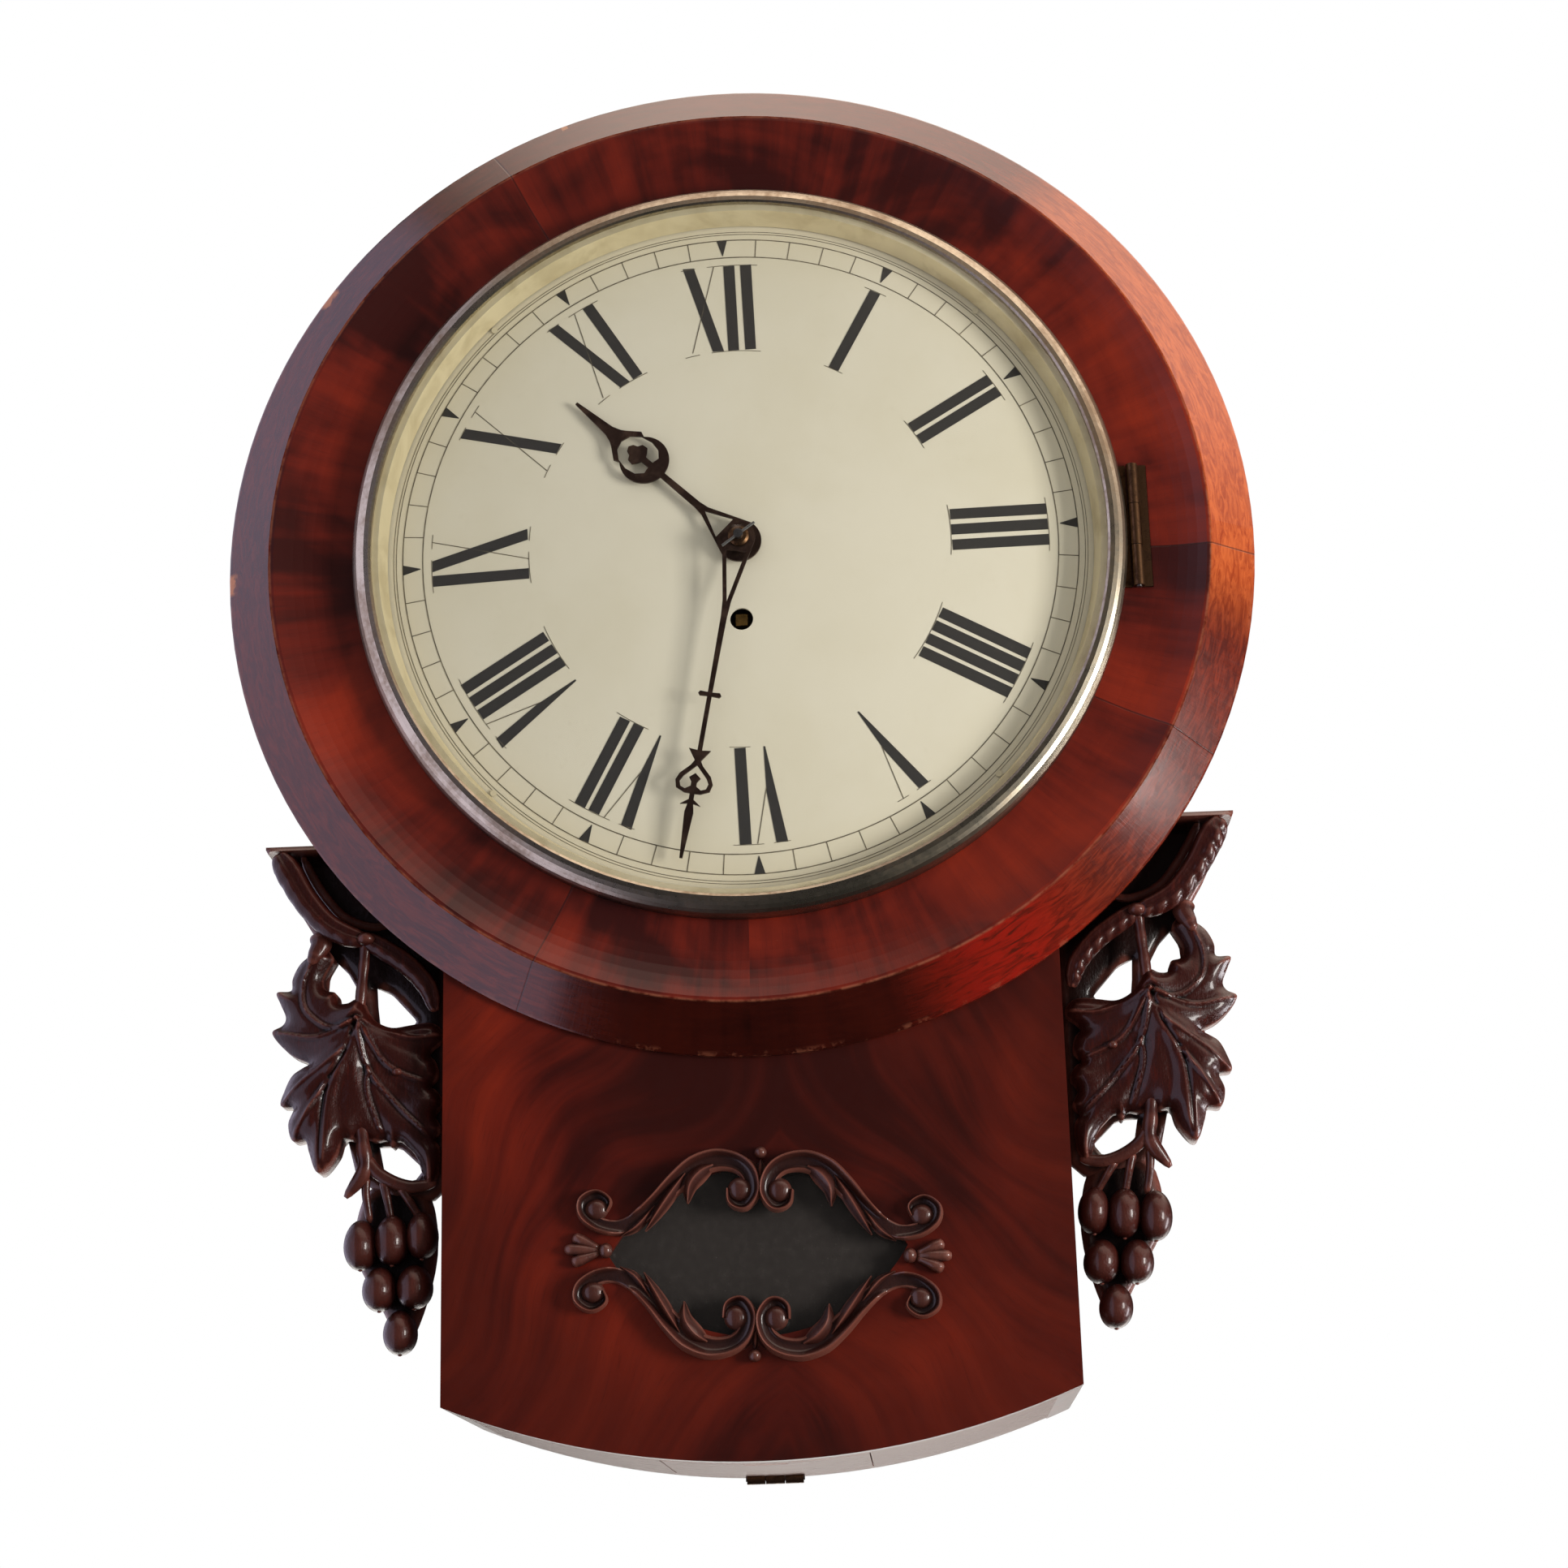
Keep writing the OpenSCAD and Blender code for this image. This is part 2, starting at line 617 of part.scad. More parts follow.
// Carved lenticle frame: each scroll runs from an inner volute over a shoulder to an outer one
inner_eye = [9, 28];
shoulder = [19, 20];
hollow_eye = [61.5, 26];
outer_eye = [65.5, 17.5];
scroll_path = concat(
    [for (k = [0:14]) turn_point(inner_eye, 2.6 + 0.4 * k, 110 - 25.3 * k)],
    [for (k = [1:9]) turn_point(shoulder, 21.3, 128 - 13.2 * k)],
    [for (k = [0:6]) turn_point(hollow_eye, 18.2, 216 + 12 * k)],
    [for (k = [1:14]) turn_point(outer_eye, 8.2 - 5.6 * k / 14, 290 + 30 * k)]);
scroll_rings = len(scroll_path);
scroll_sides = 6;

function heading(k) = let (a = scroll_path[max(k - 1, 0)], b = scroll_path[min(k + 1, scroll_rings - 1)])
    atan2(b[1] - a[1], b[0] - a[0]);
function scroll_swell(k) = let (t = k / (scroll_rings - 1)) 1.9 + 1.5 * pow(sin(180 * t), 2);
function scroll_ring(k) = [for (j = [0:scroll_sides]) let (a = heading(k) + 90, w = scroll_swell(k),
    f = 180 * j / scroll_sides)
    [scroll_path[k][0] + w * cos(f) * cos(a), scroll_path[k][1] + w * cos(f) * sin(a),
    (j == 0 || j == scroll_sides ? -0.01 : 0) + (2.2 + w * 1.1) * sin(f) * frame_t / 7]];

module scroll_solid() {
    n = scroll_sides + 1;
    points = [for (k = [0:scroll_rings - 1]) each scroll_ring(k)];
    skin = [for (k = [0:scroll_rings - 2], j = [0:n - 1]) let (a = k * n + j,
        b = k * n + (j + 1) % n) each [[a, b + n, b], [a, a + n, b + n]]];
    first = [for (j = [1:n - 2]) [0, j, j + 1]];
    top = (scroll_rings - 1) * n;
    last = [for (j = [1:n - 2]) [top, top + j + 1, top + j]];
    polyhedron(points, concat(skin, first, last), convexity = 8);
}

module scroll_quarter() {
    scroll_solid();
    for (e = [inner_eye, outer_eye]) translate([e[0], e[1], 0])
        rotate_extrude($fn = 16) polygon([[0, 0], [3.4, 0], [3.2, 2], [2.2, 4.4], [0, 5.4]]);
    petal([37, 22], 62, 15, 2.6, 4);
    petal([24, 31], 40, 11, 2.6, 4.5);
    petal([50, 7], 24, 12, 2.6, 3.4);
}

// Small ridged leaf from p along direction a
module petal(p, a, len, half, high) translate([p[0], p[1], 0]) rotate([0, 0, a]) hull() {
    linear_extrude(0.8) polygon([[-len * 0.3, 0], [0, -half], [len * 0.7, 0], [0, half]]);
    translate([-len * 0.1, 0, high]) linear_extrude(0.4) polygon([[0, -0.4], [len * 0.4, 0], [0, 0.4]]);
}

module palmette() for (a = [-42, 0, 42]) rotate([0, 0, a]) petal([5, 0], 0, 10, 2.2, 4.4);

module lenticle_frame() color(dark_wood) at_dial() translate([0, -case_d - 0.01, -lenticle_drop])
    rotate([90, 0, 0]) rotate([0, 0, -frame_lean]) {
        for (i = [0, 1], j = [0, 1]) mirror([i, 0, 0]) mirror([0, j, 0]) scroll_quarter();
        for (i = [0, 1]) mirror([i, 0, 0]) translate([62.5, 0, 0]) palmette();
        for (j = [0, 1]) mirror([0, j, 0]) translate([0, 31.5, 0]) rotate([0, 0, 90]) palmette();
    }

module lenticle_glass() color("#20231f") at_dial() at(0, -lenticle_drop)
    slab(case_d - front_t + 1, case_d - front_t + 1 + pane_t)
        pointed_oval(lenticle_a + rebate_w - 0.1, lenticle_b + rebate_w - 0.1);

// Hanging plate, let into the back, and its screws
hang_screw_r = 2;
module hang_screws(fit) for (x = [-1, 1], z = [hook_rise + 5, hook_rise + 18 - hang_h])
    at(x * (hang_w / 2 - 7), z) {
        rod(hang_screw_r + fit, hang_t - 0.5, back_t - 0.5);
        rotate([90, 0, 0]) translate([0, 0, 0]) cylinder(r = 4 + fit, h = 1.4, $fn = 32);
        rod(hang_screw_r + fit, 0.5, hang_t + 0.5);
    }

module hanging_plate() color(brass) at_dial() difference() {
    at(-hang_w / 2, hook_rise + 12 - hang_h) translate([0, -hang_t, 0])
        cube([hang_w, hang_t, hang_h]);
    at(0, hook_rise) rod(hook_r, -1, hang_t + 1, 64);
    hang_screws(0.05);
}

module screws() color(brass) at_dial() {
    hang_screws(0);
    cock_screws(0);
    dial_places() {
        rod(dial_screw_r, d_dial - dial_t - dial_screw_l, d_dial + 0.6);
        rod(1.35 * dial_screw_r, d_dial + 0.55, d_dial + 0.9);
    }
}
dial_screw_r = 1;
dial_screw_l = 6;
module dial_places() for (a = [45, 135, 225, 315]) rotate([0, a, 0]) at(dial_r - 3, 0) children();
module dial_holes(d0, d1) dial_places() rod(dial_screw_r + 0.05, d0, d1);

// Bezel: outer wall, rounded face, inner lip
bezel_steps = 6;
bezel_face = bezel_h - bezel_wall;
module bezel() color(dull_brass) at_dial()
    spun(180) polygon(concat([[bezel_lip_r, d_bezel + 2], [bezel_lip_r + 4, d_bezel],
        [bezel_r, d_bezel]],
        [for (k = [0:bezel_steps]) let (a = 90 * k / bezel_steps)
            [bezel_lip_r + 1 + (bezel_r - bezel_lip_r - 1) * cos(a),
            d_bezel + bezel_wall + bezel_face * sin(a)]],
        [[bezel_lip_r, d_bezel + bezel_h - 0.4]]));

// Gilt sight ring: a cone inside the bezel that holds the glass
module sight_ring() color("#cdb877") at_dial() spun(180) polygon([[dial_r - 1.2, d_dial + 1],
    [dial_r - 0.4, d_dial + 0.8], [bezel_lip_r - 0.02, d_dial + 3.6],
    [bezel_lip_r - 0.02, d_glass - glass_t], [dial_r + 1.2, d_glass - glass_t]]);

glass_edge_r = bezel_lip_r - 0.5;
d_glass = d_bezel + bezel_h - 0.9;
glass_dome = (pow(glass_edge_r, 2) + pow(glass_rise, 2)) / (2 * glass_rise);
glass_steps = 12;
module bezel_glass() color("#cfd8d6", 0.35) at_dial() spun(180) polygon(concat(
    [for (k = [0:glass_steps]) dome_point(glass_edge_r * k / glass_steps, glass_dome,
        d_glass + glass_rise)],
    [for (k = [glass_steps:-1:0]) dome_point(glass_edge_r * k / glass_steps, glass_dome,
        d_glass + glass_rise - glass_t)]));

module bezel_hinge_leaf() color(dull_brass) at_dial() difference() {
    bezel_hinge_frame() hinge_part(bezel_hinge_h, leaf_w + 2, true);
    rod(bezel_r, 0, 400, 180);
}

// Dial: domed sheet with the centre hole and the key hole
module dial() color("#cfc6a8") at_dial() difference() {
    intersection() {
        rod(dial_r, d_dial - dial_t, d_apex + 1, 180);
        ball_front(d_apex, dome_r);
    }
    ball_front(d_apex - dial_t, dome_r);
    rod(hour_pipe_r + 1, 0, 400);
    at(0, -fusee_drop) rod(key_hole_r, 0, 400);
    dial_holes(0, 400);
}

foot_places = [[-43, 20], [43, 20], [-43, -60], [43, -60]];
// Dial feet, cut to the inside of the dome, and the stud of the minute wheel
module posts() color(steel) at_dial() {
    difference() {
        intersection() {
            for (p = foot_places) at(p[0], p[1]) rod(foot_r, d_front_plate - 5, 400);
            ball_front(d_apex - dial_t, dome_r);
        }
        for (p = foot_places) taper_hole(p, d_front_plate - 1.6, 0);
    }
    at(-minute_reach, 0) rod(post_r, d_front_plate, d_hour_wheel + wheel_t + 1.8);
}

// Taper pins that lock the pillars and the dial feet
module taper_hole(p, d, fit) translate([p[0] - 7, -d, p[1]]) rotate([0, 90, 0])
    cylinder(r = 1 - fit, h = 14, $fn = 24);
pillar_places = [for (x = [-1, 1], z = [plate_top - 8, 10 - plate_drop]) [x * (plate_w / 2 - 8), z]];
module taper_pins() color(steel) at_dial() {
    for (p = foot_places) taper_hole(p, d_front_plate - 1.6, 0.03);
    for (p = pillar_places) taper_hole(p, d_motion + 1.6, 0.03);
}

module plate_blank(d0) translate([-plate_w / 2, -d0 - plate_t, -plate_drop])
    cube([plate_w, plate_t, plate_top + plate_drop]);
module pivot_hole(x, z, r) at(x, z) rod(r + pivot_fit, 0, 400);

module front_plate() color(brass) at_dial() difference() {
    plate_blank(d_front_plate);
    pivot_hole(0, 0, centre_pivot_r);
    pivot_hole(0, -fusee_drop, fusee_arbor_r);
    pivot_hole(0, barrel_z, barrel_pivot_r);
    pivot_hole(third_x, third_z, pivot_r);
    pivot_hole(0, escape_rise, pivot_r);
    pivot_hole(0, pallet_z, pivot_r);
    for (p = foot_places) at(p[0], p[1]) rod(foot_r + peg_fit, 0, 400);
    for (p = pillar_places) at(p[0], p[1]) rod(pillar_r * 0.5 + peg_fit, 0, 400);
    at(-minute_reach, 0) rod(post_r + peg_fit, 0, 400);
}

module back_plate() color(brass) at_dial() difference() {
    plate_blank(d_back_plate);
    pivot_hole(0, 0, pivot_r);
    pivot_hole(0, -fusee_drop, 2);
    pivot_hole(0, barrel_z, barrel_pivot_r);
    pivot_hole(third_x, third_z, pivot_r);
    pivot_hole(0, escape_rise, pivot_r);
    at(0, pallet_z) rod(6, 0, 400);
    for (p = pillar_places) at(p[0], p[1]) rod(pillar_r * 0.5 + peg_fit, 0, 400);
    cock_screws(peg_fit);
}

module pillars() color(brass) at_dial() difference() {
    for (p = pillar_places) at(p[0], p[1]) spun(32) polygon([[0, d_back_plate],
        [pillar_r * 0.5, d_back_plate], [pillar_r * 0.5, d_inner], [pillar_r, d_inner],
        [pillar_r, d_inner + 5], [pillar_r * 0.7, d_inner + 7], [pillar_r * 0.7, d_inner + 20],
        [pillar_r, d_inner + 23], [pillar_r, d_inner + plate_gap - 23],
        [pillar_r * 0.7, d_inner + plate_gap - 20], [pillar_r * 0.7, d_inner + plate_gap - 7],
        [pillar_r, d_inner + plate_gap - 5], [pillar_r, d_front_plate],
        [pillar_r * 0.5, d_front_plate], [pillar_r * 0.5, d_motion + 4], [0, d_motion + 4]]);
    for (p = pillar_places) taper_hole(p, d_motion + 1.6, 0);
}

// Toothed outline: n teeth of module m with radial roots and pointed tips
function gear_points(n, m, add, ded, share, phase) = let (r = n * m / 2, h = 180 / n * share)
    [for (k = [0:n - 1]) let (a = phase + 360 * k / n) each [
        turn_point([0, 0], r - ded * m, a - h), turn_point([0, 0], r + 0.1 * m, a - h),
        turn_point([0, 0], r + add * m, a - h * 0.3), turn_point([0, 0], r + add * m, a + h * 0.3),
        turn_point([0, 0], r + 0.1 * m, a + h), turn_point([0, 0], r - ded * m, a + h)]];
module wheel_teeth(n, m, phase) polygon(gear_points(n, m, 1, 1.3, 0.44, phase));
module pinion_leaves(n, m, phase) polygon(gear_points(n, m, 0.7, 1.5, 0.36, phase));

// Window between two spokes of a crossed wheel
module crossing(r0, r1, spokes, bar) for (k = [0:spokes - 1]) polygon(concat(
    [for (j = [0:4]) turn_point([0, 0], r1, 360 * k / spokes + window_edge(r1, bar)
        + (360 / spokes - 2 * window_edge(r1, bar)) * j / 4)],
    [for (j = [2:-1:0]) turn_point([0, 0], r0, 360 * k / spokes + window_edge(r0, bar)
        + (360 / spokes - 2 * window_edge(r0, bar)) * j / 2)]));
function window_edge(r, bar) = asin(bar / 2 / r);
function ring_points(r, n) = [for (k = [0:n - 1]) turn_point([0, 0], r, 360 * k / n)];

module train_wheel(n, m, phase, t, d, hole, spokes) slab(d, d + t) difference() {
    wheel_teeth(n, m, phase);
    crossing(hole + 3, n * m / 2 - 4.2 * m, spokes, 3);
    polygon(ring_points(hole, 24));
}

centre_pivot_r = 2;
centre_arbor_r = 2.4;
leaf_root_r = 1.5;
fusee_arbor_r = 3.2;
barrel_pivot_r = 3.4;
post_r = 0.65;

module great_wheel() color(brass) at_dial() at(0, -fusee_drop)
    slab(d_great, d_great + great_t) difference() {
        wheel_teeth(great_teeth, great_m, 90);
        crossing(11, great_teeth * great_m / 2 - 4.2, 6, 4);
        circle(r = fusee_arbor_r + pivot_fit, $fn = 48);
    }

module centre_arbor() color(steel) at_dial() {
    rod(pivot_r, d_back_plate, d_inner + 1);
    rod(leaf_root_r, d_inner + arbor_end, d_great + great_t + 4);
    rod(centre_arbor_r, d_great + great_t + 3, d_front_plate - arbor_end);
    difference() {
        rod(centre_pivot_r, d_front_plate - 1, d_pin + 1.4);
        pin_frame() cylinder(r = hand_pin_r + 0.02, h = 9, center = true, $fn = 32);
    }
    slab(d_great - 1, d_great + great_t + 3)
        pinion_leaves(centre_leaves, great_m, 270 + 180 / centre_leaves);
}

module centre_wheel() color(brass) at_dial()
    train_wheel(centre_teeth, centre_m, third_dir, wheel_t, d_centre_wheel, centre_arbor_r + 0.02, 4);

module third_arbor() color(steel) at_dial() at(third_x, third_z) {
    rod(pivot_r, d_back_plate, d_motion);
    rod(arbor_r, d_inner + arbor_end, d_front_plate - arbor_end);
    slab(d_centre_wheel - 1, d_centre_wheel + wheel_t + 1)
        pinion_leaves(fine_leaves, centre_m, third_dir + 180 + 180 / fine_leaves);
}

module third_wheel() color(brass) at_dial() at(third_x, third_z)
    train_wheel(third_teeth, third_m, escape_dir, wheel_t, d_third_wheel, arbor_r + 0.02, 4);

module escape_arbor() color(steel) at_dial() at(0, escape_rise) {
    rod(pivot_r, d_back_plate, d_motion);
    rod(arbor_r, d_inner + arbor_end, d_front_plate - arbor_end);
    slab(d_third_wheel - 2, d_third_wheel + wheel_t + 2)
        pinion_leaves(fine_leaves, third_m, escape_dir + 180 + 180 / fine_leaves);
}

function escape_points() = [for (k = [0:escape_teeth - 1]) let (p = 360 / escape_teeth, a = p * k)
    each [turn_point([0, 0], escape_r, a), turn_point([0, 0], escape_r, a + p * 0.06),
        turn_point([0, 0], escape_r * 0.84, a + p * 0.42),
        turn_point([0, 0], escape_r * 0.84, a + p * 0.84)]];
module escape_wheel() color(brass) at_dial() at(0, escape_rise)
    slab(d_escape_wheel, d_escape_wheel + wheel_t) difference() {
        polygon(escape_points());
        crossing(arbor_r + 3, escape_r * 0.84 - 2, 4, 2.4);
        polygon(ring_points(arbor_r + 0.02, 24));
    }

// Anchor: two sloping arms, each with a nib held just clear of the escape teeth
nib_gap = 1.3;
nib_r = escape_r + nib_gap;
anchor_arm = [[6, 2.5], [16.2, -6.5], [17, -11.5], [nib_r * sin(58.8), nib_r * cos(58.8) - pallet_rise],
    [nib_r * sin(50.4), nib_r * cos(50.4) - pallet_rise], [11.6, -9.2], [3, -3.6]];
module pallets() color(steel) at_dial() slab(d_escape_wheel - 0.5, d_escape_wheel + wheel_t + 0.5)
    translate([0, pallet_z]) difference() {
        polygon(concat([[0, 5]], anchor_arm, [[0, -4]],
            [for (k = [len(anchor_arm) - 1:-1:0]) [-anchor_arm[k][0], anchor_arm[k][1]]]));
        circle(r = 2.02, $fn = 48);
    }

// Pallet arbor with the crutch that embraces the pendulum rod
crutch_drop = 52;
module crutch() color(steel) at_dial() at(0, pallet_z) {
    rod(pivot_r, cock_d0, d_motion);
    rod(2, cock_d1 + arbor_end, d_front_plate - arbor_end);
    translate([-1.5, -d_back_plate + 1.5, -crutch_drop]) cube([3, 2, crutch_drop]);
    translate([-1.5, -d_back_plate + 1.5, -crutch_drop]) cube([3, 4, 3]);
    difference() {
        translate([-rod_r - 2, 3.5 - d_back_plate, -crutch_drop])
            cube([2 * rod_r + 4, 9 + rod_r + 2, 3]);
        translate([-rod_r - 0.3, 5.5 - d_back_plate, -crutch_drop - 1])
            cube([2 * rod_r + 0.6, 20, 5]);
    }
}

// Back cock: a bridge behind the back plate with the suspension stud
module cock_screws(fit) for (s = [-1, 1]) at(s * 24, pallet_z) {
    rod(1.6 + fit, d_back_plate - 3, d_inner + 1);
    rod(3 + fit, d_back_plate - 4.6, d_back_plate - 3);
}
module back_cock() color(brass) at_dial() difference() {
    union() {
        translate([0, 0, pallet_z - 6]) linear_extrude(14) polygon([
            [-28, -d_back_plate], [-28, 3 - d_back_plate], [-19, 3 - d_back_plate],
            [-19, -cock_d0], [19, -cock_d0], [19, 3 - d_back_plate], [28, 3 - d_back_plate],
            [28, -d_back_plate], [16, -d_back_plate], [16, -cock_d1], [-16, -cock_d1],
            [-16, -d_back_plate]]);
        translate([-4, -cock_d0, pallet_z + 1.5]) cube([8, cock_d0 - d_rod + 4, 6.5]);
    }
    at(0, pallet_z) rod(pivot_r + pivot_fit, 0, 400);
    translate([-0.35, -d_rod - 3.2, pallet_z]) cube([0.7, 6.4, 20]);
    cock_screws(peg_fit);
}

// Suspension: strip in the cock's slot, flexing at the pallet arbor's height
strip_half = 0.12;
module suspension_spring() color(steel) at_dial() {
    translate([-2.5, -d_rod - 3, pallet_z + 8.1]) cube([5, 6, 3]);
    translate([-strip_half, -d_rod - 3, pallet_z + 0.2]) cube([2 * strip_half, 6, 8.5]);
}

module pendulum_rod() color(steel) at_dial() {
    translate([-strip_half, -d_rod - 3, pallet_z - 10]) cube([2 * strip_half, 6, 9.9]);
    translate([-2.6, -d_rod - 3.6, pallet_z - 16]) cube([5.2, 7.2, 6.4]);
    translate([0, -d_rod, bob_z - bob_r - 16]) cylinder(r = rod_r,
        h = pallet_z - 12 - bob_z + bob_r + 16, $fn = 32);
}

module pendulum_bob() color(brass) at_dial() difference() {
    translate([0, -d_rod, bob_z]) rotate([90, 0, 0]) rotate_extrude($fn = 96) polygon(concat(
        [for (k = [0:6]) let (t = k / 6) [bob_r * sin(90 * t), -bob_t / 2 * cos(84 * t)]],
        [for (k = [6:-1:0]) let (t = k / 6) [bob_r * sin(90 * t), bob_t / 2 * cos(84 * t)]]));
    translate([0, -d_rod, bob_z - bob_r - 5]) cylinder(r = rod_r + 0.08, h = 2 * bob_r + 10, $fn = 32);
}

module rating_nut() color(brass) at_dial() translate([0, -d_rod, bob_z - bob_r - 6.3]) difference() {
    rotate_extrude($fn = 48) polygon([[0, 0], [nut_r - 1, 0], [nut_r, 1], [nut_r, 4],
        [nut_r - 1, 5], [3.5, 6], [0, 6]]);
    translate([0, 0, -1]) cylinder(r = rod_r + 0.06, h = 9, $fn = 32);
}

// Fusee: grooved cone whose radius falls so that the pull stays even
d_fusee = d_great + great_t + 1;
fusee_pitch = (d_centre_wheel - 3 - d_fusee) / (fusee_turns + 1);
groove_depth = 1;
function fusee_radius(t) = fusee_tip_r + (fusee_r - fusee_tip_r) * pow(1 - t, 1.5);
module fusee() color(brass) at_dial() at(0, -fusee_drop) {
    spun(96) polygon(concat([[0, d_fusee], [fusee_r + 1.4, d_fusee],
        [fusee_r + 1.4, d_fusee + fusee_pitch * 0.3]],
        [for (k = [0:fusee_turns - 1]) let (d = d_fusee + fusee_pitch * (k + 0.9),
            r = fusee_radius(k / fusee_turns)) each [[r, d - fusee_pitch * 0.47],
            [r - groove_depth, d - fusee_pitch * 0.2], [r - groove_depth, d + fusee_pitch * 0.2],
            [r, d + fusee_pitch * 0.47]]],
        [[fusee_tip_r + 1.6, d_fusee + fusee_pitch * (fusee_turns + 0.4)],
        [fusee_tip_r + 1.6, d_centre_wheel - 3], [0, d_centre_wheel - 3]]));
    rod(2, d_back_plate, d_inner + arbor_end);
    rod(fusee_arbor_r, d_inner + arbor_end, d_motion + 1);
    translate([-square_w / 2, -d_apex + 1.5, -square_w / 2])
        cube([square_w, d_apex - 1.5 - d_motion - 0.5, square_w]);
}

// Going barrel of the mainspring
d_barrel = d_inner + 2.5;
barrel_l = plate_gap - 5.5;
module barrel() color(brass) at_dial() at(0, barrel_z) spun(96) polygon([
    [barrel_pivot_r + 1.6, d_barrel], [barrel_r, d_barrel], [barrel_r, d_barrel + barrel_l],
    [barrel_r - barrel_t * 0.5, d_barrel + barrel_l],
    [barrel_r - barrel_t * 0.5, d_barrel + barrel_l - 2],
    [barrel_r - barrel_t, d_barrel + barrel_l - 2],
    [barrel_r - barrel_t, d_barrel + 2], [barrel_pivot_r + 1.6, d_barrel + 2]]);

module barrel_cap() color(brass) at_dial() at(0, barrel_z) spun(96) polygon([
    [barrel_pivot_r + 1.6, d_barrel + barrel_l - 2],
    [barrel_r - barrel_t * 0.5 - 0.02, d_barrel + barrel_l - 2],
    [barrel_r - barrel_t * 0.5 - 0.02, d_barrel + barrel_l],
    [barrel_pivot_r + 1.6, d_barrel + barrel_l]]);

module barrel_arbor() color(steel) at_dial() at(0, barrel_z) {
    rod(barrel_pivot_r, d_back_plate, d_motion + 3);
    rod(barrel_pivot_r + 1.54, d_barrel - 1, d_barrel + barrel_l + 1);
    slab(d_motion + 0.3, d_motion + 2.5) polygon([for (k = [0:19]) each [
        turn_point([0, 0], 11, 18 * k), turn_point([0, 0], 9.2, 18 * k + 2)]]);
}

spring_in = barrel_pivot_r + 3;
spring_out = barrel_r - barrel_t - 0.5;
function spiral(t, off) = turn_point([0, 0], spring_in + (spring_out - spring_in) * t + off,
    360 * spring_turns * t);
module mainspring() color(steel) at_dial() at(0, barrel_z)
    slab(d_barrel + 3, d_barrel + barrel_l - 3) polygon(concat(
        [for (k = [0:spring_turns * 14]) spiral(k / (spring_turns * 14), 0)],
        [for (k = [spring_turns * 14:-1:0]) spiral(k / (spring_turns * 14), -0.5)]));

// Line: one layer on the barrel, a straight run and one turn in a fusee groove
mid_turn = 6;
d_line = d_fusee + fusee_pitch * (mid_turn + 0.9);
module fusee_line() color("#7b7466") at_dial() {
    wound = barrel_r + seat_gap;
    groove = fusee_radius(mid_turn / fusee_turns) + line_r * 0.6;
    at(0, barrel_z) spun(96) polygon([[wound, d_line - line_r], [wound + line_r * 2, d_line - line_r],
        [wound + line_r * 2, d_line + 18], [wound, d_line + 18]]);
    at(0, -fusee_drop) rotate([90, 0, 0]) translate([0, 0, d_line]) rotate_extrude($fn = 96)
        translate([groove, 0]) circle(r = line_r, $fn = 32);
    translate([wound + line_r, -d_line, barrel_z])
        rotate([0, atan2(groove - wound - line_r, barrel_drop), 0])
            cylinder(r = line_r, h = barrel_drop, $fn = 32);
}

// Motion work between the front plate and the dial
module cannon_pinion() color(brass) at_dial() difference() {
    union() {
        slab(d_cannon, d_cannon + wheel_t) wheel_teeth(cannon_teeth, cannon_m, 180);
        rod(cannon_pipe_r, d_cannon, d_minute_hand + 0.6);
    }
    rod(centre_pivot_r + pivot_fit, 0, 400);
}

module minute_wheel() color(brass) at_dial() at(-minute_reach, 0) {
    difference() {
        union() {
            slab(d_cannon, d_cannon + wheel_t) wheel_teeth(cannon_teeth, cannon_m, 180 / cannon_teeth);
            slab(d_cannon + wheel_t, d_hour_wheel + wheel_t + 1)
                pinion_leaves(minute_leaves, hour_m, 180 / minute_leaves);
        }
        rod(post_r + pivot_fit, 0, 400);
    }
}

module hour_wheel() color(brass) at_dial() difference() {
    union() {
        slab(d_hour_wheel, d_hour_wheel + wheel_t) wheel_teeth(hour_teeth, hour_m, 180);
        rod(hour_pipe_r, d_hour_wheel, d_hour_hand);
    }
    rod(cannon_pipe_r + pivot_fit, 0, 400);
}

// Hands, drawn pointing up and bent over the dial
module bent(d) difference() {
    intersection() {
        slab(d - 30, d + 1) children();
        ball_front(d, hand_sweep);
    }
    ball_front(d - hand_t, hand_sweep);
}

// Outline that is the same on both sides of the hand, from the tail to the tip
module symmetric(points) polygon(concat(points, [for (k = [len(points) - 1:-1:0])
    [-points[k][0], points[k][1]]]));
function arc(c, r, from, to, n) = [for (k = [0:n]) turn_point(c, r, from + (to - from) * k / n)];

// Hour hand: forked root, round pierced head with a trefoil, spear point
hour_form = hour_len / 98.6;
hour_hub_r = 9.6;
module hour_outline() scale(hour_form) difference() {
    symmetric(concat(arc([0, 0], hour_hub_r, -87, 12, 12), [[2.2, 20.5], [1.6, 25], [1.3, 46]],
        arc([0, 57], 11, -80, 44, 14), [[8.9, 67.2], [5, 72.4], [3.6, 74.6], [2.3, 78.5], [0.6, 98.6]]));
    polygon([[-5.6, 8.6], [0, 20.6], [5.6, 8.6]]);
    polygon([[1.4, 53.2], [4.6, 52.6], [7.5, 55.6], [8.4, 60.4], [7.3, 65.6], [4.1, 69.6],
        [0, 70.8], [-4.1, 69.6], [-7.3, 65.6], [-8.4, 60.4], [-7.5, 55.6], [-4.6, 52.6],
        [-1.4, 53.2], [-1.4, 57.4], [-3, 58.2], [-5, 59.8], [-4.7, 62.4], [-2.7, 63.5],
        [-2, 65.5], [0, 66.6], [2, 65.5], [2.7, 63.5], [4.7, 62.4], [5, 59.8], [3, 58.2],
        [1.4, 57.4]]);
    circle(r = (hour_pipe_r + 0.02) / hour_form, $fn = 64);
}

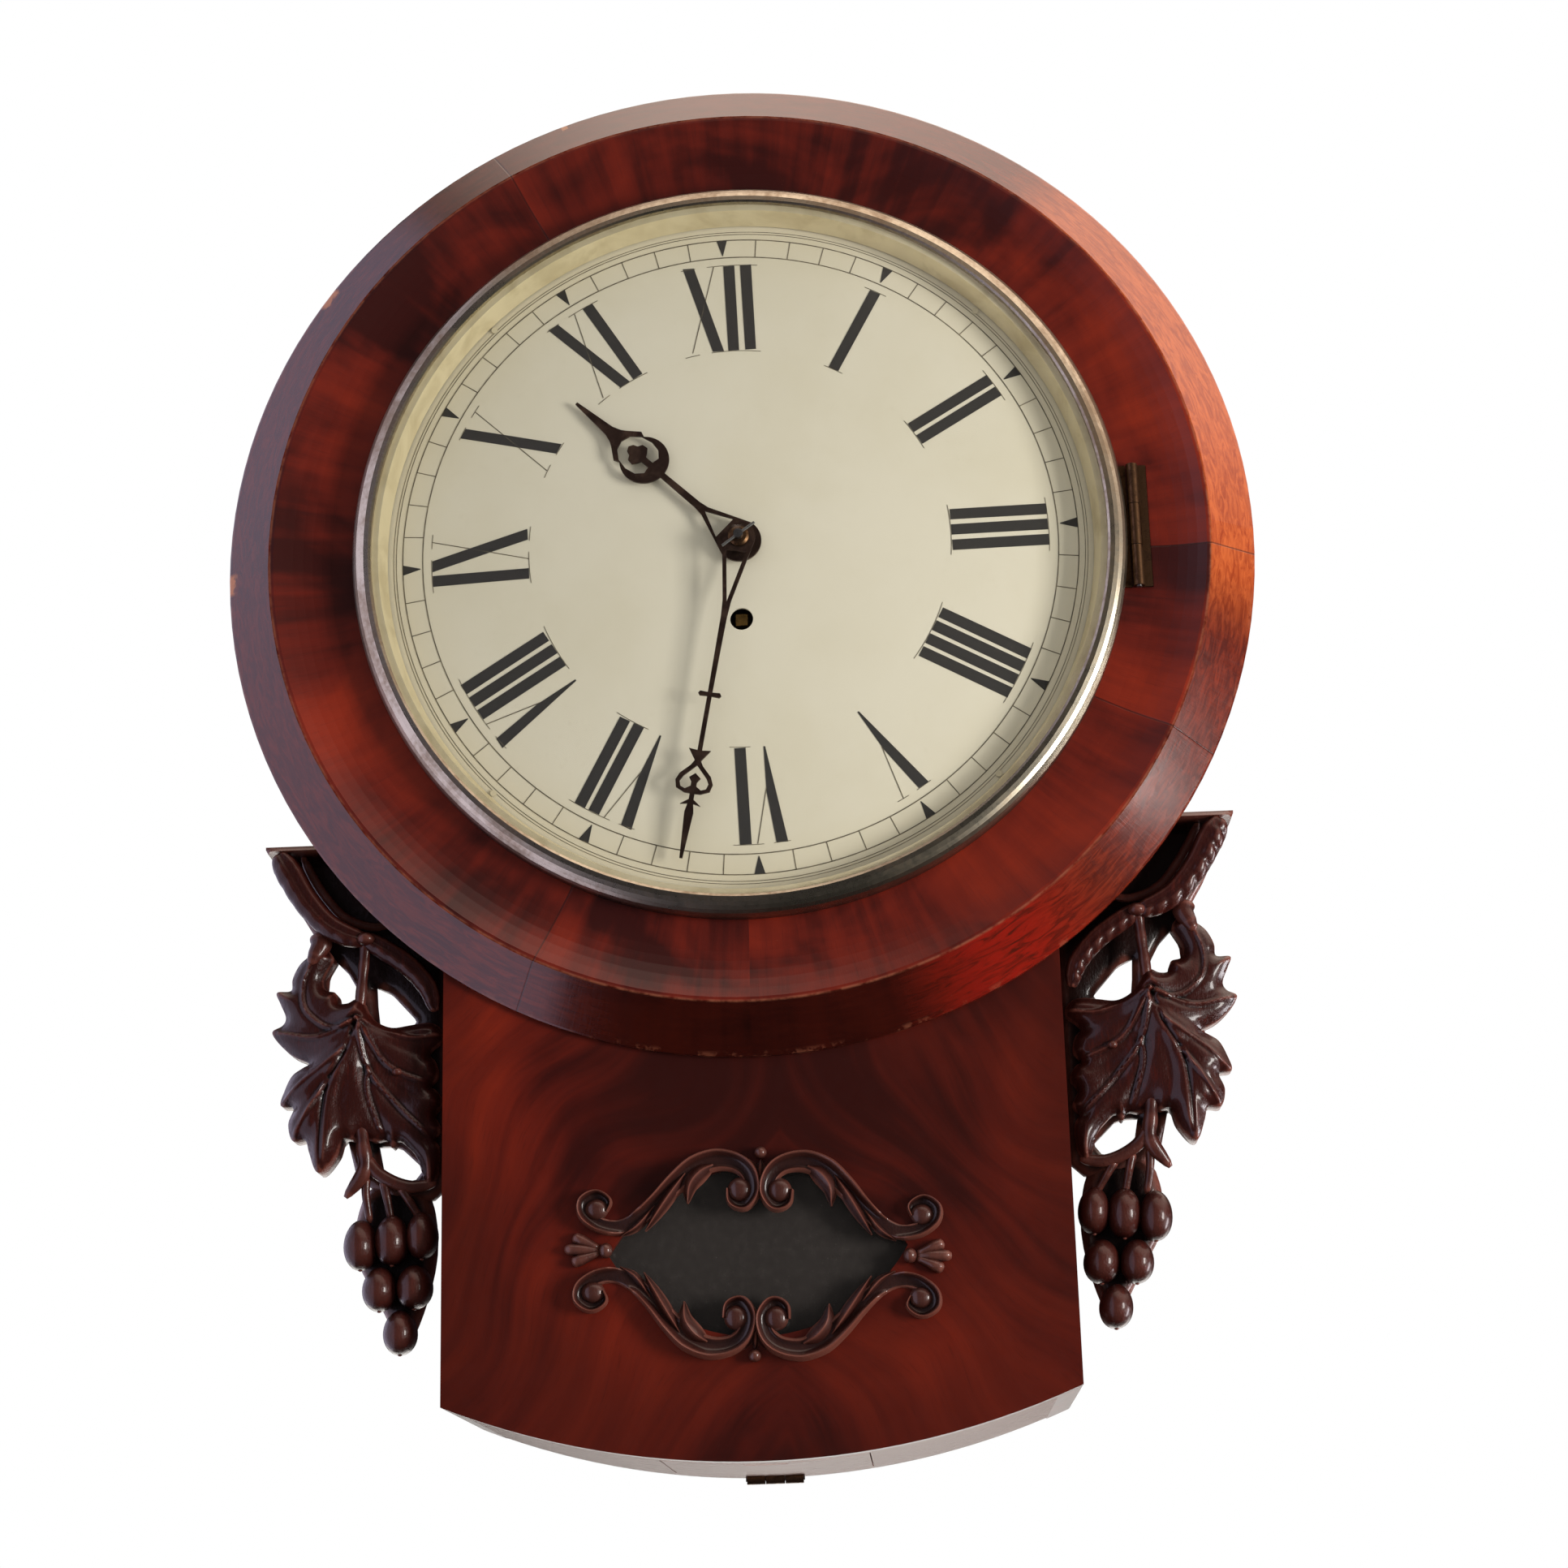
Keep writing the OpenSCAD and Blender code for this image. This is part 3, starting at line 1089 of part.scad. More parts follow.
// Minute hand: forked root, cross bar, collar, pierced heart, fleur and blade
minute_form = minute_len / 140.8;
minute_hub_r = 7;
module minute_outline() scale(minute_form) difference() {
    symmetric(concat(arc([0, 0], minute_hub_r, -87, 8, 12), [[1.8, 29], [1.3, 36], [0.95, 69.8],
        [4.2, 69.6], [4.9, 70.7], [4.2, 71.6], [0.95, 71.4], [0.95, 95], [4.6, 94.6], [1.3, 99.4],
        [2.6, 101.6], [6.6, 105.6], [7.9, 108.6], [7.1, 111.8], [3.4, 113.4], [1, 113.5], [1, 116],
        [4.3, 118.4], [1.2, 117.8], [1.9, 121.5], [0.6, 140.8]]));
    polygon([[-4.2, 6.4], [0, 29.5], [4.2, 6.4]]);
    polygon([[0, 101.4], [4.8, 106.4], [6.1, 108.8], [5.4, 111], [3.4, 111.8], [1.2, 110.4],
        [1.2, 108.6], [2.4, 106.8], [0, 104.8], [-2.4, 106.8], [-1.2, 108.6],
        [-1.2, 110.4], [-3.4, 111.8], [-5.4, 111], [-6.1, 108.8], [-4.8, 106.4]]);
    circle(r = (cannon_pipe_r + 0.02) / minute_form, $fn = 64);
}

module hour_hand() color(blued) at_dial() rotate([0, hour_angle, 0])
    bent(d_hour_hand) hour_outline();
module minute_hand() color(blued) at_dial() rotate([0, minute_angle, 0])
    bent(d_minute_hand) minute_outline();

// Domed collet in front of the minute hand, and the pin through the centre arbor
d_collet = d_minute_hand + 0.1;
hand_pin_r = 0.6;
d_pin = d_collet + 2 + hand_pin_r + seat_gap;
pin_tilt = 36;
module hand_collet() color(brass) at_dial() difference() {
    spun(48) polygon([[0, d_collet], [4.6, d_collet], [4.4, d_collet + 0.9],
        [3.4, d_collet + 1.7], [2, d_collet + 2], [0, d_collet + 2]]);
    rod(cannon_pipe_r + 0.02, 0, d_minute_hand + 0.7);
    rod(centre_pivot_r + pivot_fit, 0, 400);
}

module pin_frame() rotate([0, -pin_tilt, 0]) translate([0, -d_pin, 0]) rotate([0, 90, 0]) children();
module hand_pin() color(steel) at_dial() pin_frame()
    cylinder(r = hand_pin_r, h = 17, center = true, $fn = 32);

backboard();
side_left();
side_right();
box_top();
trunk_front();
bottom_board();
bottom_door();
side_door();
fixed_leaves();
side_door_leaves();
bottom_door_leaf();
hinge_pins();
side_door_knob();
dial_surround();
surround_battens();
case_pegs();
ear_left();
ear_right();
lenticle_frame();
lenticle_glass();
hanging_plate();
screws();
bezel();
bezel_glass();
sight_ring();
bezel_hinge_leaf();
dial();
posts();
front_plate();
back_plate();
pillars();
taper_pins();
barrel();
barrel_cap();
barrel_arbor();
mainspring();
fusee();
great_wheel();
fusee_line();
centre_arbor();
centre_wheel();
third_arbor();
third_wheel();
escape_arbor();
escape_wheel();
pallets();
crutch();
back_cock();
suspension_spring();
pendulum_rod();
pendulum_bob();
rating_nut();
cannon_pinion();
minute_wheel();
hour_wheel();
hour_hand();
minute_hand();
hand_collet();
hand_pin();
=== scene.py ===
import math
from functools import cache

import bmesh
import bpy
import numpy as np
from bpy.props import FloatProperty, FloatVectorProperty, PointerProperty
from mathutils import Matrix, Vector
from mathutils.geometry import delaunay_2d_cdt


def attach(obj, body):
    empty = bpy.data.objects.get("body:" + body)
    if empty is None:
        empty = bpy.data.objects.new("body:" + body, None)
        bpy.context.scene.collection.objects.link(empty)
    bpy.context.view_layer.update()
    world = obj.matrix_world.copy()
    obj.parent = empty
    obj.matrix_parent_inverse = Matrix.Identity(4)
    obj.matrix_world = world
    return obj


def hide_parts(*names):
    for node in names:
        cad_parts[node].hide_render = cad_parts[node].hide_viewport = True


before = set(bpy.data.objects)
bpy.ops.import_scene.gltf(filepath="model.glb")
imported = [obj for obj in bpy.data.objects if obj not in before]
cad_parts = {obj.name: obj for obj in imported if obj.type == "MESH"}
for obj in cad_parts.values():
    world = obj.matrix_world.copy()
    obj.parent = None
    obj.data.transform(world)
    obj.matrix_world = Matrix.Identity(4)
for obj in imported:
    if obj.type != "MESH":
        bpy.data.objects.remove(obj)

bl_info = {
    "name": "Drop dial wall clock",
    "version": (1, 0, 0),
    "blender": (4, 5, 0),
    "location": "View3D > Sidebar > Clock",
    "description": "Carving, printed dial, glasses and finishes of a drop dial wall clock",
    "category": "Object",
}

# Places in the clock: x to the right, depth in front of the wall and height from the dial's
# centre, all in millimetres. The hook hole, 140 mm above the dial's centre, is the origin.
HOOK_RISE = 140.0
DIAL_DEPTH = 131.0
DIAL_R = 152.4
DIAL_RISE = 4.0
DOME_R = (DIAL_R ** 2 + DIAL_RISE ** 2) / (2 * DIAL_RISE)
CASE_DEPTH = 125.0
CREST_R = 200.0
RIM_R = 220.0
EAR_BACK = 100.0
WINDOW_DROP = 298.0

# Minute ring of the dial, and how deep the ink sits in the paint and how far it stands out
RING_INNER = 136.2
RING_OUTER = 144.8
INK_SUNK = 0.05
INK_PROUD = 0.13

# Joints between the fans of veneer round the surround, in degrees clockwise from the top, and its
# chips with their half widths in radians.
FAN_JOINTS = (-154, -29, 93, 117)
CHIPS = ((-92, 0.026), (-55, 0.03), (-20, 0.008))

# The picture: its side in pixels, the pixel that the camera faces squarely, and the place that
# the camera turns about. The lamp: the place it points at, its direction and its distance. Last
# the floor.
PICTURE = 1932
SQUARE_ON = (1051.287, 856.155)
TURN_PLACE = (46.072, 131.0, -68.51)
LAMP_PLACE = (0.0, 130.0, -60.0)
LAMP_WAY = (0.87, -0.48, -0.14)
LAMP_REACH = 1.5
FLOOR_R = 4000.0
FLOOR_HEIGHT = -1160.0


def tint(red, green, blue):
    """A colour named by its 0 to 255 screen values, as the linear values that shaders use."""
    c = np.array([red, green, blue]) / 255
    return tuple(np.where(c <= 0.04045, c / 12.92, ((c + 0.055) / 1.055) ** 2.4).tolist())


def to_world(points):
    """Points (x, depth, height) in millimetres as world points in metres."""
    p = np.asarray(points, float)
    return np.stack([p[..., 0], -p[..., 1], p[..., 2] - HOOK_RISE], -1) / 1000


def dome(r):
    """Depth of the dial's face at radius r: a shallow ball whose edge is the dial's edge."""
    return DIAL_DEPTH + DIAL_RISE - DOME_R + np.sqrt(DOME_R ** 2 - np.asarray(r, float) ** 2)


# Sizes and colours that a user would change

def number(name, text, value, low, high, **more):
    return FloatProperty(name=name, description=text, default=value, min=low, max=high, **more)


def degrees(name, text, value):
    return FloatProperty(name=name, description=text, default=math.radians(value), subtype="ANGLE")


def colour(name, text, *screen):
    return FloatVectorProperty(name=name, description=text, default=tint(*screen),
                               subtype="COLOR", size=3, min=0, max=1)


class ClockCarving(bpy.types.PropertyGroup):
    step: number("Carving step", "Spacing of the points on the leaves, in mm", 0.8, 0.6, 4)
    vein: number("Vein height", "Height of the veins on the leaves, in mm", 1.4, 0, 3)
    valley: number("Valley depth", "Depth of the cuts between lobes, in mm", 0.7, 0, 4)
    grape: number("Grape scale", "Size of the grapes against the carved ones", 1.0, 0.8, 1.05,
                  subtype="FACTOR")
    scroll: number("Scroll height", "Height of the scrolls on the trunk, in mm", 6.6, 4, 7.5)


class ClockPrint(bpy.types.PropertyGroup):
    inner: number("Numeral foot", "Radius of the numerals' feet, in mm", 90.6, 80, 95)
    outer: number("Numeral head", "Radius of the numerals' heads, in mm", 132.0, 125, 134)
    stroke: number("Thick stroke", "Width of the thick strokes, in mm", 4.9, 3, 6)
    hairline: number("Hairline", "Width of the thin strokes, in mm", 0.36, 0.2, 0.8)
    turn: degrees("Turn", "Turn of the dial in the case", 1.95)


class ClockFinish(bpy.types.PropertyGroup):
    veneer: colour("Veneer", "Mid colour of the mahogany veneer", 92, 21, 9)
    veneer_dark: colour("Veneer figure", "Dark figure of the veneer", 50, 10, 7)
    veneer_light: colour("Veneer light", "Light streaks of the veneer", 132, 35, 10)
    carving: colour("Carving", "Polished mahogany of the carving", 44, 12, 8)
    pine: colour("Pine", "Plain wood behind and inside", 150, 108, 66)
    dial: colour("Dial", "Aged cream paint of the dial", 216, 208, 190)
    ink: colour("Ink", "Printed numerals and rings", 46, 44, 42)
    brass: colour("Brass", "Clean brass of the movement", 196, 160, 92)
    bezel: colour("Bezel", "Worn silvery metal of the bezel", 176, 168, 150)
    gilt: colour("Gilt", "Gilt sight ring", 232, 220, 186)
    steel: colour("Steel", "Polished steel", 150, 152, 156)
    browned: colour("Browned steel", "Browned steel of the hands", 62, 46, 40)


class ClockStudio(bpy.types.PropertyGroup):
    lens: number("Lens", "Focal length in mm on a 36 mm sensor", 68.88, 20, 200, unit="CAMERA")
    azimuth: degrees("Azimuth", "Camera to the side of the clock", 0.644)
    elevation: degrees("Elevation", "Camera above the horizon", -17.757)
    roll: degrees("Roll", "Turn of the camera about its view", -2.051)
    reach: number("Distance", "Camera from the point it turns about", 1.263648, 0.3, 5,
                  unit="LENGTH")
    lamp: number("Lamp", "Power of the soft lamp at the right", 26.0, 0, 500, unit="POWER")
    fill: number("Fill", "Strength of the light from all round", 0.58, 0, 2)


def tones():
    return bpy.context.scene.clock_finish


# Shapes

class Shape:
    """Gathers surfaces, each worked out as whole arrays of points in millimetres."""

    def __init__(self):
        self.points = []
        self.faces = []
        self.count = 0

    def add(self, points, faces):
        self.points.append(np.asarray(points, float).reshape(-1, 3))
        self.faces += (np.asarray(faces) + self.count).tolist()
        self.count += len(self.points[-1])

    def grid(self, points, along=False):
        """Quads over rows of points: each row is closed, and along joins the last to the first."""
        m, n = points.shape[:2]
        rows = np.arange(m if along else m - 1)[:, None]
        cols = np.arange(n)[None, :]
        a = rows * n + cols
        b = rows * n + (cols + 1) % n
        c = (rows + 1) % m * n + (cols + 1) % n
        d = (rows + 1) % m * n + cols
        self.add(points, np.stack([a, b, c, d], -1).reshape(-1, 4))

    def bead(self, centre, half, across=20, down=14, pinch=0.0):
        """An egg: half sizes times cos and sin of two angles; pinch narrows its top."""
        v = np.linspace(-np.pi / 2, np.pi / 2, down)[:, None]
        u = np.linspace(0, 2 * np.pi, across, endpoint=False)[None, :]
        waist = np.cos(v) * (1 - pinch * np.sin(v))
        ball = np.stack([waist * np.cos(u), waist * np.sin(u), np.sin(v) + 0 * u], -1)
        self.grid(np.asarray(centre, float) + ball * np.asarray(half, float))

    def sweep(self, path, wide, high, section):
        """A closed section carried along a path: each ring is the path point, plus section u times
        half width along the sideways direction, plus section v times height towards the front.
        Both ends are closed at the middle of their ring."""
        path = np.asarray(path, float)
        heading = np.gradient(path, axis=0) * [1, 0, 1]
        heading /= np.linalg.norm(heading, axis=1)[:, None] + 1e-9
        side = np.stack([-heading[:, 2], 0 * heading[:, 0], heading[:, 0]], -1)
        section = np.asarray(section, float)
        if section.ndim == 2:
            section = np.repeat(section[None], len(path), 0)
        u = section[..., 0] * np.broadcast_to(wide, len(path))[:, None]
        v = section[..., 1] * np.broadcast_to(high, len(path))[:, None]
        rings = path[:, None] + side[:, None] * u[..., None]
        rings[..., 1] += v
        ends = rings.mean(1, keepdims=True) + 0 * rings
        self.grid(np.concatenate([ends[:1], rings, ends[-1:]]))

    def lathe(self, profile, sides):
        """A closed profile of radius and depth turned round the dial's axis."""
        profile = np.asarray(profile, float)
        a = np.linspace(0, 2 * np.pi, sides, endpoint=False)[None, :]
        r = profile[:, :1]
        rings = np.stack([r * np.sin(a), profile[:, 1:] + 0 * a, r * np.cos(a)], -1)
        self.grid(rings, along=True)

    def prism(self, outline, low, high):
        """An outline of x and height with a back at the depths low and a front at high."""
        n = len(outline)
        front = np.column_stack([outline[:, 0], high, outline[:, 1]])
        back = np.column_stack([outline[:, 0], low, outline[:, 1]])
        k = np.arange(n)
        walls = np.stack([k, (k + 1) % n, (k + 1) % n + n, k + n], -1)
        self.add(np.concatenate([front, back]), walls)
        start = self.count - 2 * n
        self.faces += [(start + k[::-1]).tolist(), (start + n + k).tolist()]

    def mesh(self, name):
        """One mesh of the surfaces, with doubles merged and faces turned outwards."""
        mesh = bpy.data.meshes.new(name)
        mesh.from_pydata(to_world(np.concatenate(self.points)), [], self.faces)
        work = bmesh.new()
        work.from_mesh(mesh)
        bmesh.ops.remove_doubles(work, verts=work.verts, dist=0.00002)
        bmesh.ops.dissolve_degenerate(work, edges=work.edges, dist=0.000005)
        bmesh.ops.recalc_face_normals(work, faces=work.faces)
        work.to_mesh(mesh)
        work.free()
        return mesh

    def piece(self, name, finish, body, replaces, slot, sharp=50):
        """Makes the object, smooth but for edges sharper than an angle in degrees."""
        mesh = self.mesh(name)
        mesh.shade_smooth()
        mesh.set_sharp_from_angle(angle=math.radians(sharp))
        mesh.materials.append(finish)
        made = bpy.data.objects.new(name, mesh)
        bpy.context.scene.collection.objects.link(made)
        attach(made, body)
        if replaces:
            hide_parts(*replaces)


def curve(points, per):
    """A smooth curve through points: a cubic for each span, with slopes from its neighbours."""
    p = np.asarray(points, float)
    ext = np.concatenate([2 * p[:1] - p[1:2], p, 2 * p[-1:] - p[-2:-1]])
    t = np.linspace(0, 1, per, endpoint=False)[:, None, None]
    a, b, c, d = ext[:-3], ext[1:-2], ext[2:-1], ext[3:]
    spans = 0.5 * (2 * b + (c - a) * t + (2 * a - 5 * b + 4 * c - d) * t ** 2
                   + (3 * b - a - 3 * c + d) * t ** 3)
    return np.concatenate([spans.transpose(1, 0, 2).reshape(-1, p.shape[1]), p[-1:]])


def ring_curve(points, per=4):
    """The same smooth curve, closed."""
    p = np.asarray(points, float)
    whole = curve(np.concatenate([p[-2:], p, p[:3]]), per)
    return whole[2 * per:(2 + len(p)) * per]


def spaced(points, step):
    """A closed outline with points about one step apart."""
    p = np.asarray(points, float)
    ends = np.roll(p, -1, 0)
    reach = np.linalg.norm(ends - p, axis=1)
    at = np.concatenate([[0], np.cumsum(reach)])
    n = max(8, int(round(at[-1] / step)))
    s = np.linspace(0, at[-1], n, endpoint=False)
    whole = np.concatenate([p, p[:1]])
    return np.column_stack([np.interp(s, at, whole[:, 0]), np.interp(s, at, whole[:, 1])])


def inside(points, loops):
    """True where a point lies in an odd number of outlines."""
    x, z = points[:, :1], points[:, 1:]
    odd = np.zeros(len(points), bool)
    for loop in loops:
        a, b = loop, np.roll(loop, -1, 0)
        rise = np.where(b[:, 1] == a[:, 1], 1e-9, b[:, 1] - a[:, 1])
        crossing = ((a[:, 1] > z) != (b[:, 1] > z)) & (
            x < a[:, 0] + (z - a[:, 1]) * (b[:, 0] - a[:, 0]) / rise)
        odd ^= crossing.sum(1) % 2 == 1
    return odd


def distance(points, line, closed=False):
    """Shortest distance from each point to a line of segments."""
    a = line if closed else line[:-1]
    b = np.roll(line, -1, 0) if closed else line[1:]
    d = b - a
    t = ((points[:, None] - a) * d).sum(-1) / np.maximum((d * d).sum(-1), 1e-9)
    foot = a + d * np.clip(t, 0, 1)[..., None]
    return np.linalg.norm(points[:, None] - foot, axis=-1).min(1)


def relief(shape, loops, height, back, step):
    """A carved board: its outlines are filled with even points and joined into triangles, the
    front lies at height(points, distance to the edge), the back is flat, and walls close it."""
    loops = [spaced(loop, step) for loop in loops]
    border = np.concatenate(loops)
    edges, start = [], 0
    for loop in loops:
        k = np.arange(len(loop))
        edges += np.column_stack([start + k, start + (k + 1) % len(loop)]).tolist()
        start += len(loop)
    low, high = border.min(0), border.max(0)
    gx, gz = np.meshgrid(np.arange(low[0], high[0], step),
                         np.arange(low[1], high[1], step * 0.866))
    gx[1::2] += step / 2
    filling = np.column_stack([gx.ravel(), gz.ravel()])
    filling = filling[inside(filling, loops)]
    gap = np.min([distance(filling, loop, True) for loop in loops], 0)
    points = np.concatenate([border, filling[gap > step * 0.55]])
    found = delaunay_2d_cdt(points.tolist(), edges, [], 0, 1e-6)
    flat = np.array([tuple(v) for v in found[0]])
    tris = np.array(found[2])
    tris = tris[inside(flat[tris].mean(1), loops)]
    gap = np.min([distance(flat, loop, True) for loop in loops], 0)
    front = np.column_stack([flat[:, 0], height(flat, gap), flat[:, 1]])
    rear = np.column_stack([flat[:, 0], np.full(len(flat), back), flat[:, 1]])
    one = np.concatenate([tris[:, [0, 1]], tris[:, [1, 2]], tris[:, [2, 0]]])
    key = one[:, 0] * len(flat) + one[:, 1]
    lone = one[~np.isin(key, one[:, 1] * len(flat) + one[:, 0])]
    n = len(flat)
    shape.add(np.concatenate([front, rear]), tris)
    start = shape.count - 2 * n
    shape.faces += (tris[:, ::-1] + start + n).tolist()
    walls = np.column_stack([lone[:, 1], lone[:, 0], lone[:, 0] + n, lone[:, 1] + n])
    shape.faces += (walls + start).tolist()


def swell(n, ends):
    """Widths along a stem: full in the middle, rounded off at both ends."""
    t = np.linspace(0, 1, n)
    return ends + (1 - ends) * np.clip(np.sin(np.pi * t) * 3, 0, 1) ** 0.5


def spread(values, n):
    """Values spread evenly over n points, with straight steps between them."""
    values = np.atleast_1d(values)
    return np.interp(np.linspace(0, 1, n), np.linspace(0, 1, len(values)), values)


def trace(places, per, level=0):
    """A smooth path through places of x and height, at one depth."""
    return curve([(x, level, z) for x, z in places], per)


# Finishes

class Wire:
    """A number on its way between shader nodes. Sums and products of it add Math nodes."""

    def __init__(self, finish, socket):
        self.finish = finish
        self.socket = socket

    def maths(self, operation, *values):
        return self.finish.wire("ShaderNodeMath", {"operation": operation},
                                dict(enumerate(values)))

    def __add__(self, other):
        return self.maths("ADD", self, other)

    def __radd__(self, other):
        return self.maths("ADD", other, self)

    def __sub__(self, other):
        return self.maths("SUBTRACT", self, other)

    def __rsub__(self, other):
        return self.maths("SUBTRACT", other, self)

    def __mul__(self, other):
        return self.maths("MULTIPLY", self, other)

    def __rmul__(self, other):
        return self.maths("MULTIPLY", other, self)

    def __pow__(self, other):
        return self.maths("POWER", self, other)

    def __gt__(self, other):
        return self.maths("GREATER_THAN", self, other)

    def __abs__(self):
        return self.maths("ABSOLUTE", self)

    def sine(self):
        return self.maths("SINE", self)

    def band(self, low, high):
        """0 below low, 1 above high, smooth between."""
        return self.finish.wire("ShaderNodeMapRange", {"interpolation_type": "SMOOTHSTEP"},
                                {"Value": self, "From Min": low, "From Max": high})

    def near(self, place, width):
        """1 at a place, falling smoothly to 0 at width from it."""
        return 1 - abs(self - place).band(0, width)


class Finish:
    """One material and its nodes. Places in it are millimetres from the dial's centre."""

    def __init__(self, name, tree=None):
        if tree is None:
            self.material = bpy.data.materials.new(name)
            self.material.use_nodes = True
            tree = self.material.node_tree
        tree.nodes.clear()
        self.tree = tree

    def node(self, kind, settings=None, sockets=None):
        """Adds a node: first its settings, then the value or the link of each socket."""
        made = self.tree.nodes.new(kind)
        for key, value in (settings or {}).items():
            setattr(made, key, value)
        for key, value in (sockets or {}).items():
            socket = made.inputs[key]
            if isinstance(value, Wire):
                self.tree.links.new(value.socket, socket)
            elif socket.type == "RGBA" and len(value) == 3:
                socket.default_value = (*value, 1)
            else:
                socket.default_value = value
        return made

    def wire(self, kind, settings=None, sockets=None, output=0):
        """Adds a node and gives one of its outputs."""
        return Wire(self, self.node(kind, settings, sockets).outputs[output])

    def place(self):
        """The place on the piece, in millimetres from the dial's centre."""
        if not hasattr(self, "spot"):
            source = self.wire("ShaderNodeTexCoord", output="Object")
            self.spot = self.vector("MULTIPLY_ADD", source, (1000, 1000, 1000), (0, 0, HOOK_RISE))
        return self.spot

    def vector(self, operation, *values):
        return self.wire("ShaderNodeVectorMath", {"operation": operation}, dict(enumerate(values)),
                         "Value" if operation == "LENGTH" else "Vector")

    def split(self, spot):
        made = self.node("ShaderNodeSeparateXYZ", None, {0: spot})
        return [Wire(self, socket) for socket in made.outputs]

    def axes(self, spot=None):
        """The x, depth and height of a place as three numbers; depth counts forwards."""
        x, y, z = self.split(spot or self.place())
        return x, 0 - y, z

    def join(self, x, y, z):
        return self.wire("ShaderNodeCombineXYZ", None, {0: x, 1: y, 2: z})

    def radius(self):
        """Distance from the dial's axis."""
        return self.vector("LENGTH", self.vector("MULTIPLY", self.place(), (1, 0, 1)))

    def noise(self, scale, detail, rough, bend=0.0, spot=None):
        return self.wire("ShaderNodeTexNoise", None, {
            "Vector": spot or self.place(), "Scale": scale, "Detail": detail,
            "Roughness": rough, "Distortion": bend})

    def fibres(self, stretch, detail, rough, bend=0.0, spot=None):
        """Noise drawn out into fibres: the place is scaled by its own amount along each axis."""
        spot = self.vector("MULTIPLY", spot or self.place(), stretch)
        return self.noise(1, detail, rough, bend, spot)

    def folds(self):
        """About half on a flat, less in a hollow and more on an edge."""
        return self.wire("ShaderNodeNewGeometry", output="Pointiness")

    def mix(self, share, first, second):
        return self.wire("ShaderNodeMix", {"data_type": "RGBA"},
                         {0: share, 6: first, 7: second}, 2)

    def over(self, share, *screen):
        """Lays a colour, named by its screen values, over the base by a share of 0 to 1."""
        self.base = self.mix(share, self.base, tint(*screen))

    def surface(self, rough, metal=0.0, bump=None, lift=0.1, **constants):
        """Principled surface over the base colour; bump is a height and lift its millimetres."""
        sockets = {"Base Color": self.base, "Roughness": rough, "Metallic": metal}
        for key, value in constants.items():
            sockets[key.replace("_", " ").title().replace("Ior", "IOR")] = value
        if bump is not None:
            sockets["Normal"] = self.wire("ShaderNodeBump", None, {
                "Strength": 1.0, "Distance": lift / 1000, "Height": bump})
        return self.wire("ShaderNodeBsdfPrincipled", None, sockets)

    def done(self, shader):
        self.node("ShaderNodeOutputMaterial", None, {0: shader})
        return self.material


def dress(finish, *nodes):
    """Gives carried nodes a finish, which is made once."""
    for node in nodes:
        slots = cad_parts[node].data.materials
        slots.clear()
        slots.append(finish())


def mahogany_tones(f, grain, flame, streaky):
    """Lays the colour of polished veneer and gives its pores. grain is a place whose third axis
    runs along the fibres, flame a slow figure of 0 to 1."""
    streak = f.fibres((0.13, 0.13, 0.008), 3, 0.55, 0.3, spot=grain)
    pores = f.fibres((1.9, 1.9, 0.1), 2, 0.6, spot=grain)
    share = streak * streaky + flame * (1 - streaky)
    f.base = f.mix(share.band(0.38, 0.54), tones().veneer_dark, tones().veneer)
    f.base = f.mix(share.band(0.48, 0.74) * 0.85, f.base, tones().veneer_light)
    f.over(pores.band(0.55, 0.75) * 0.22, 30, 9, 6)
    return pores


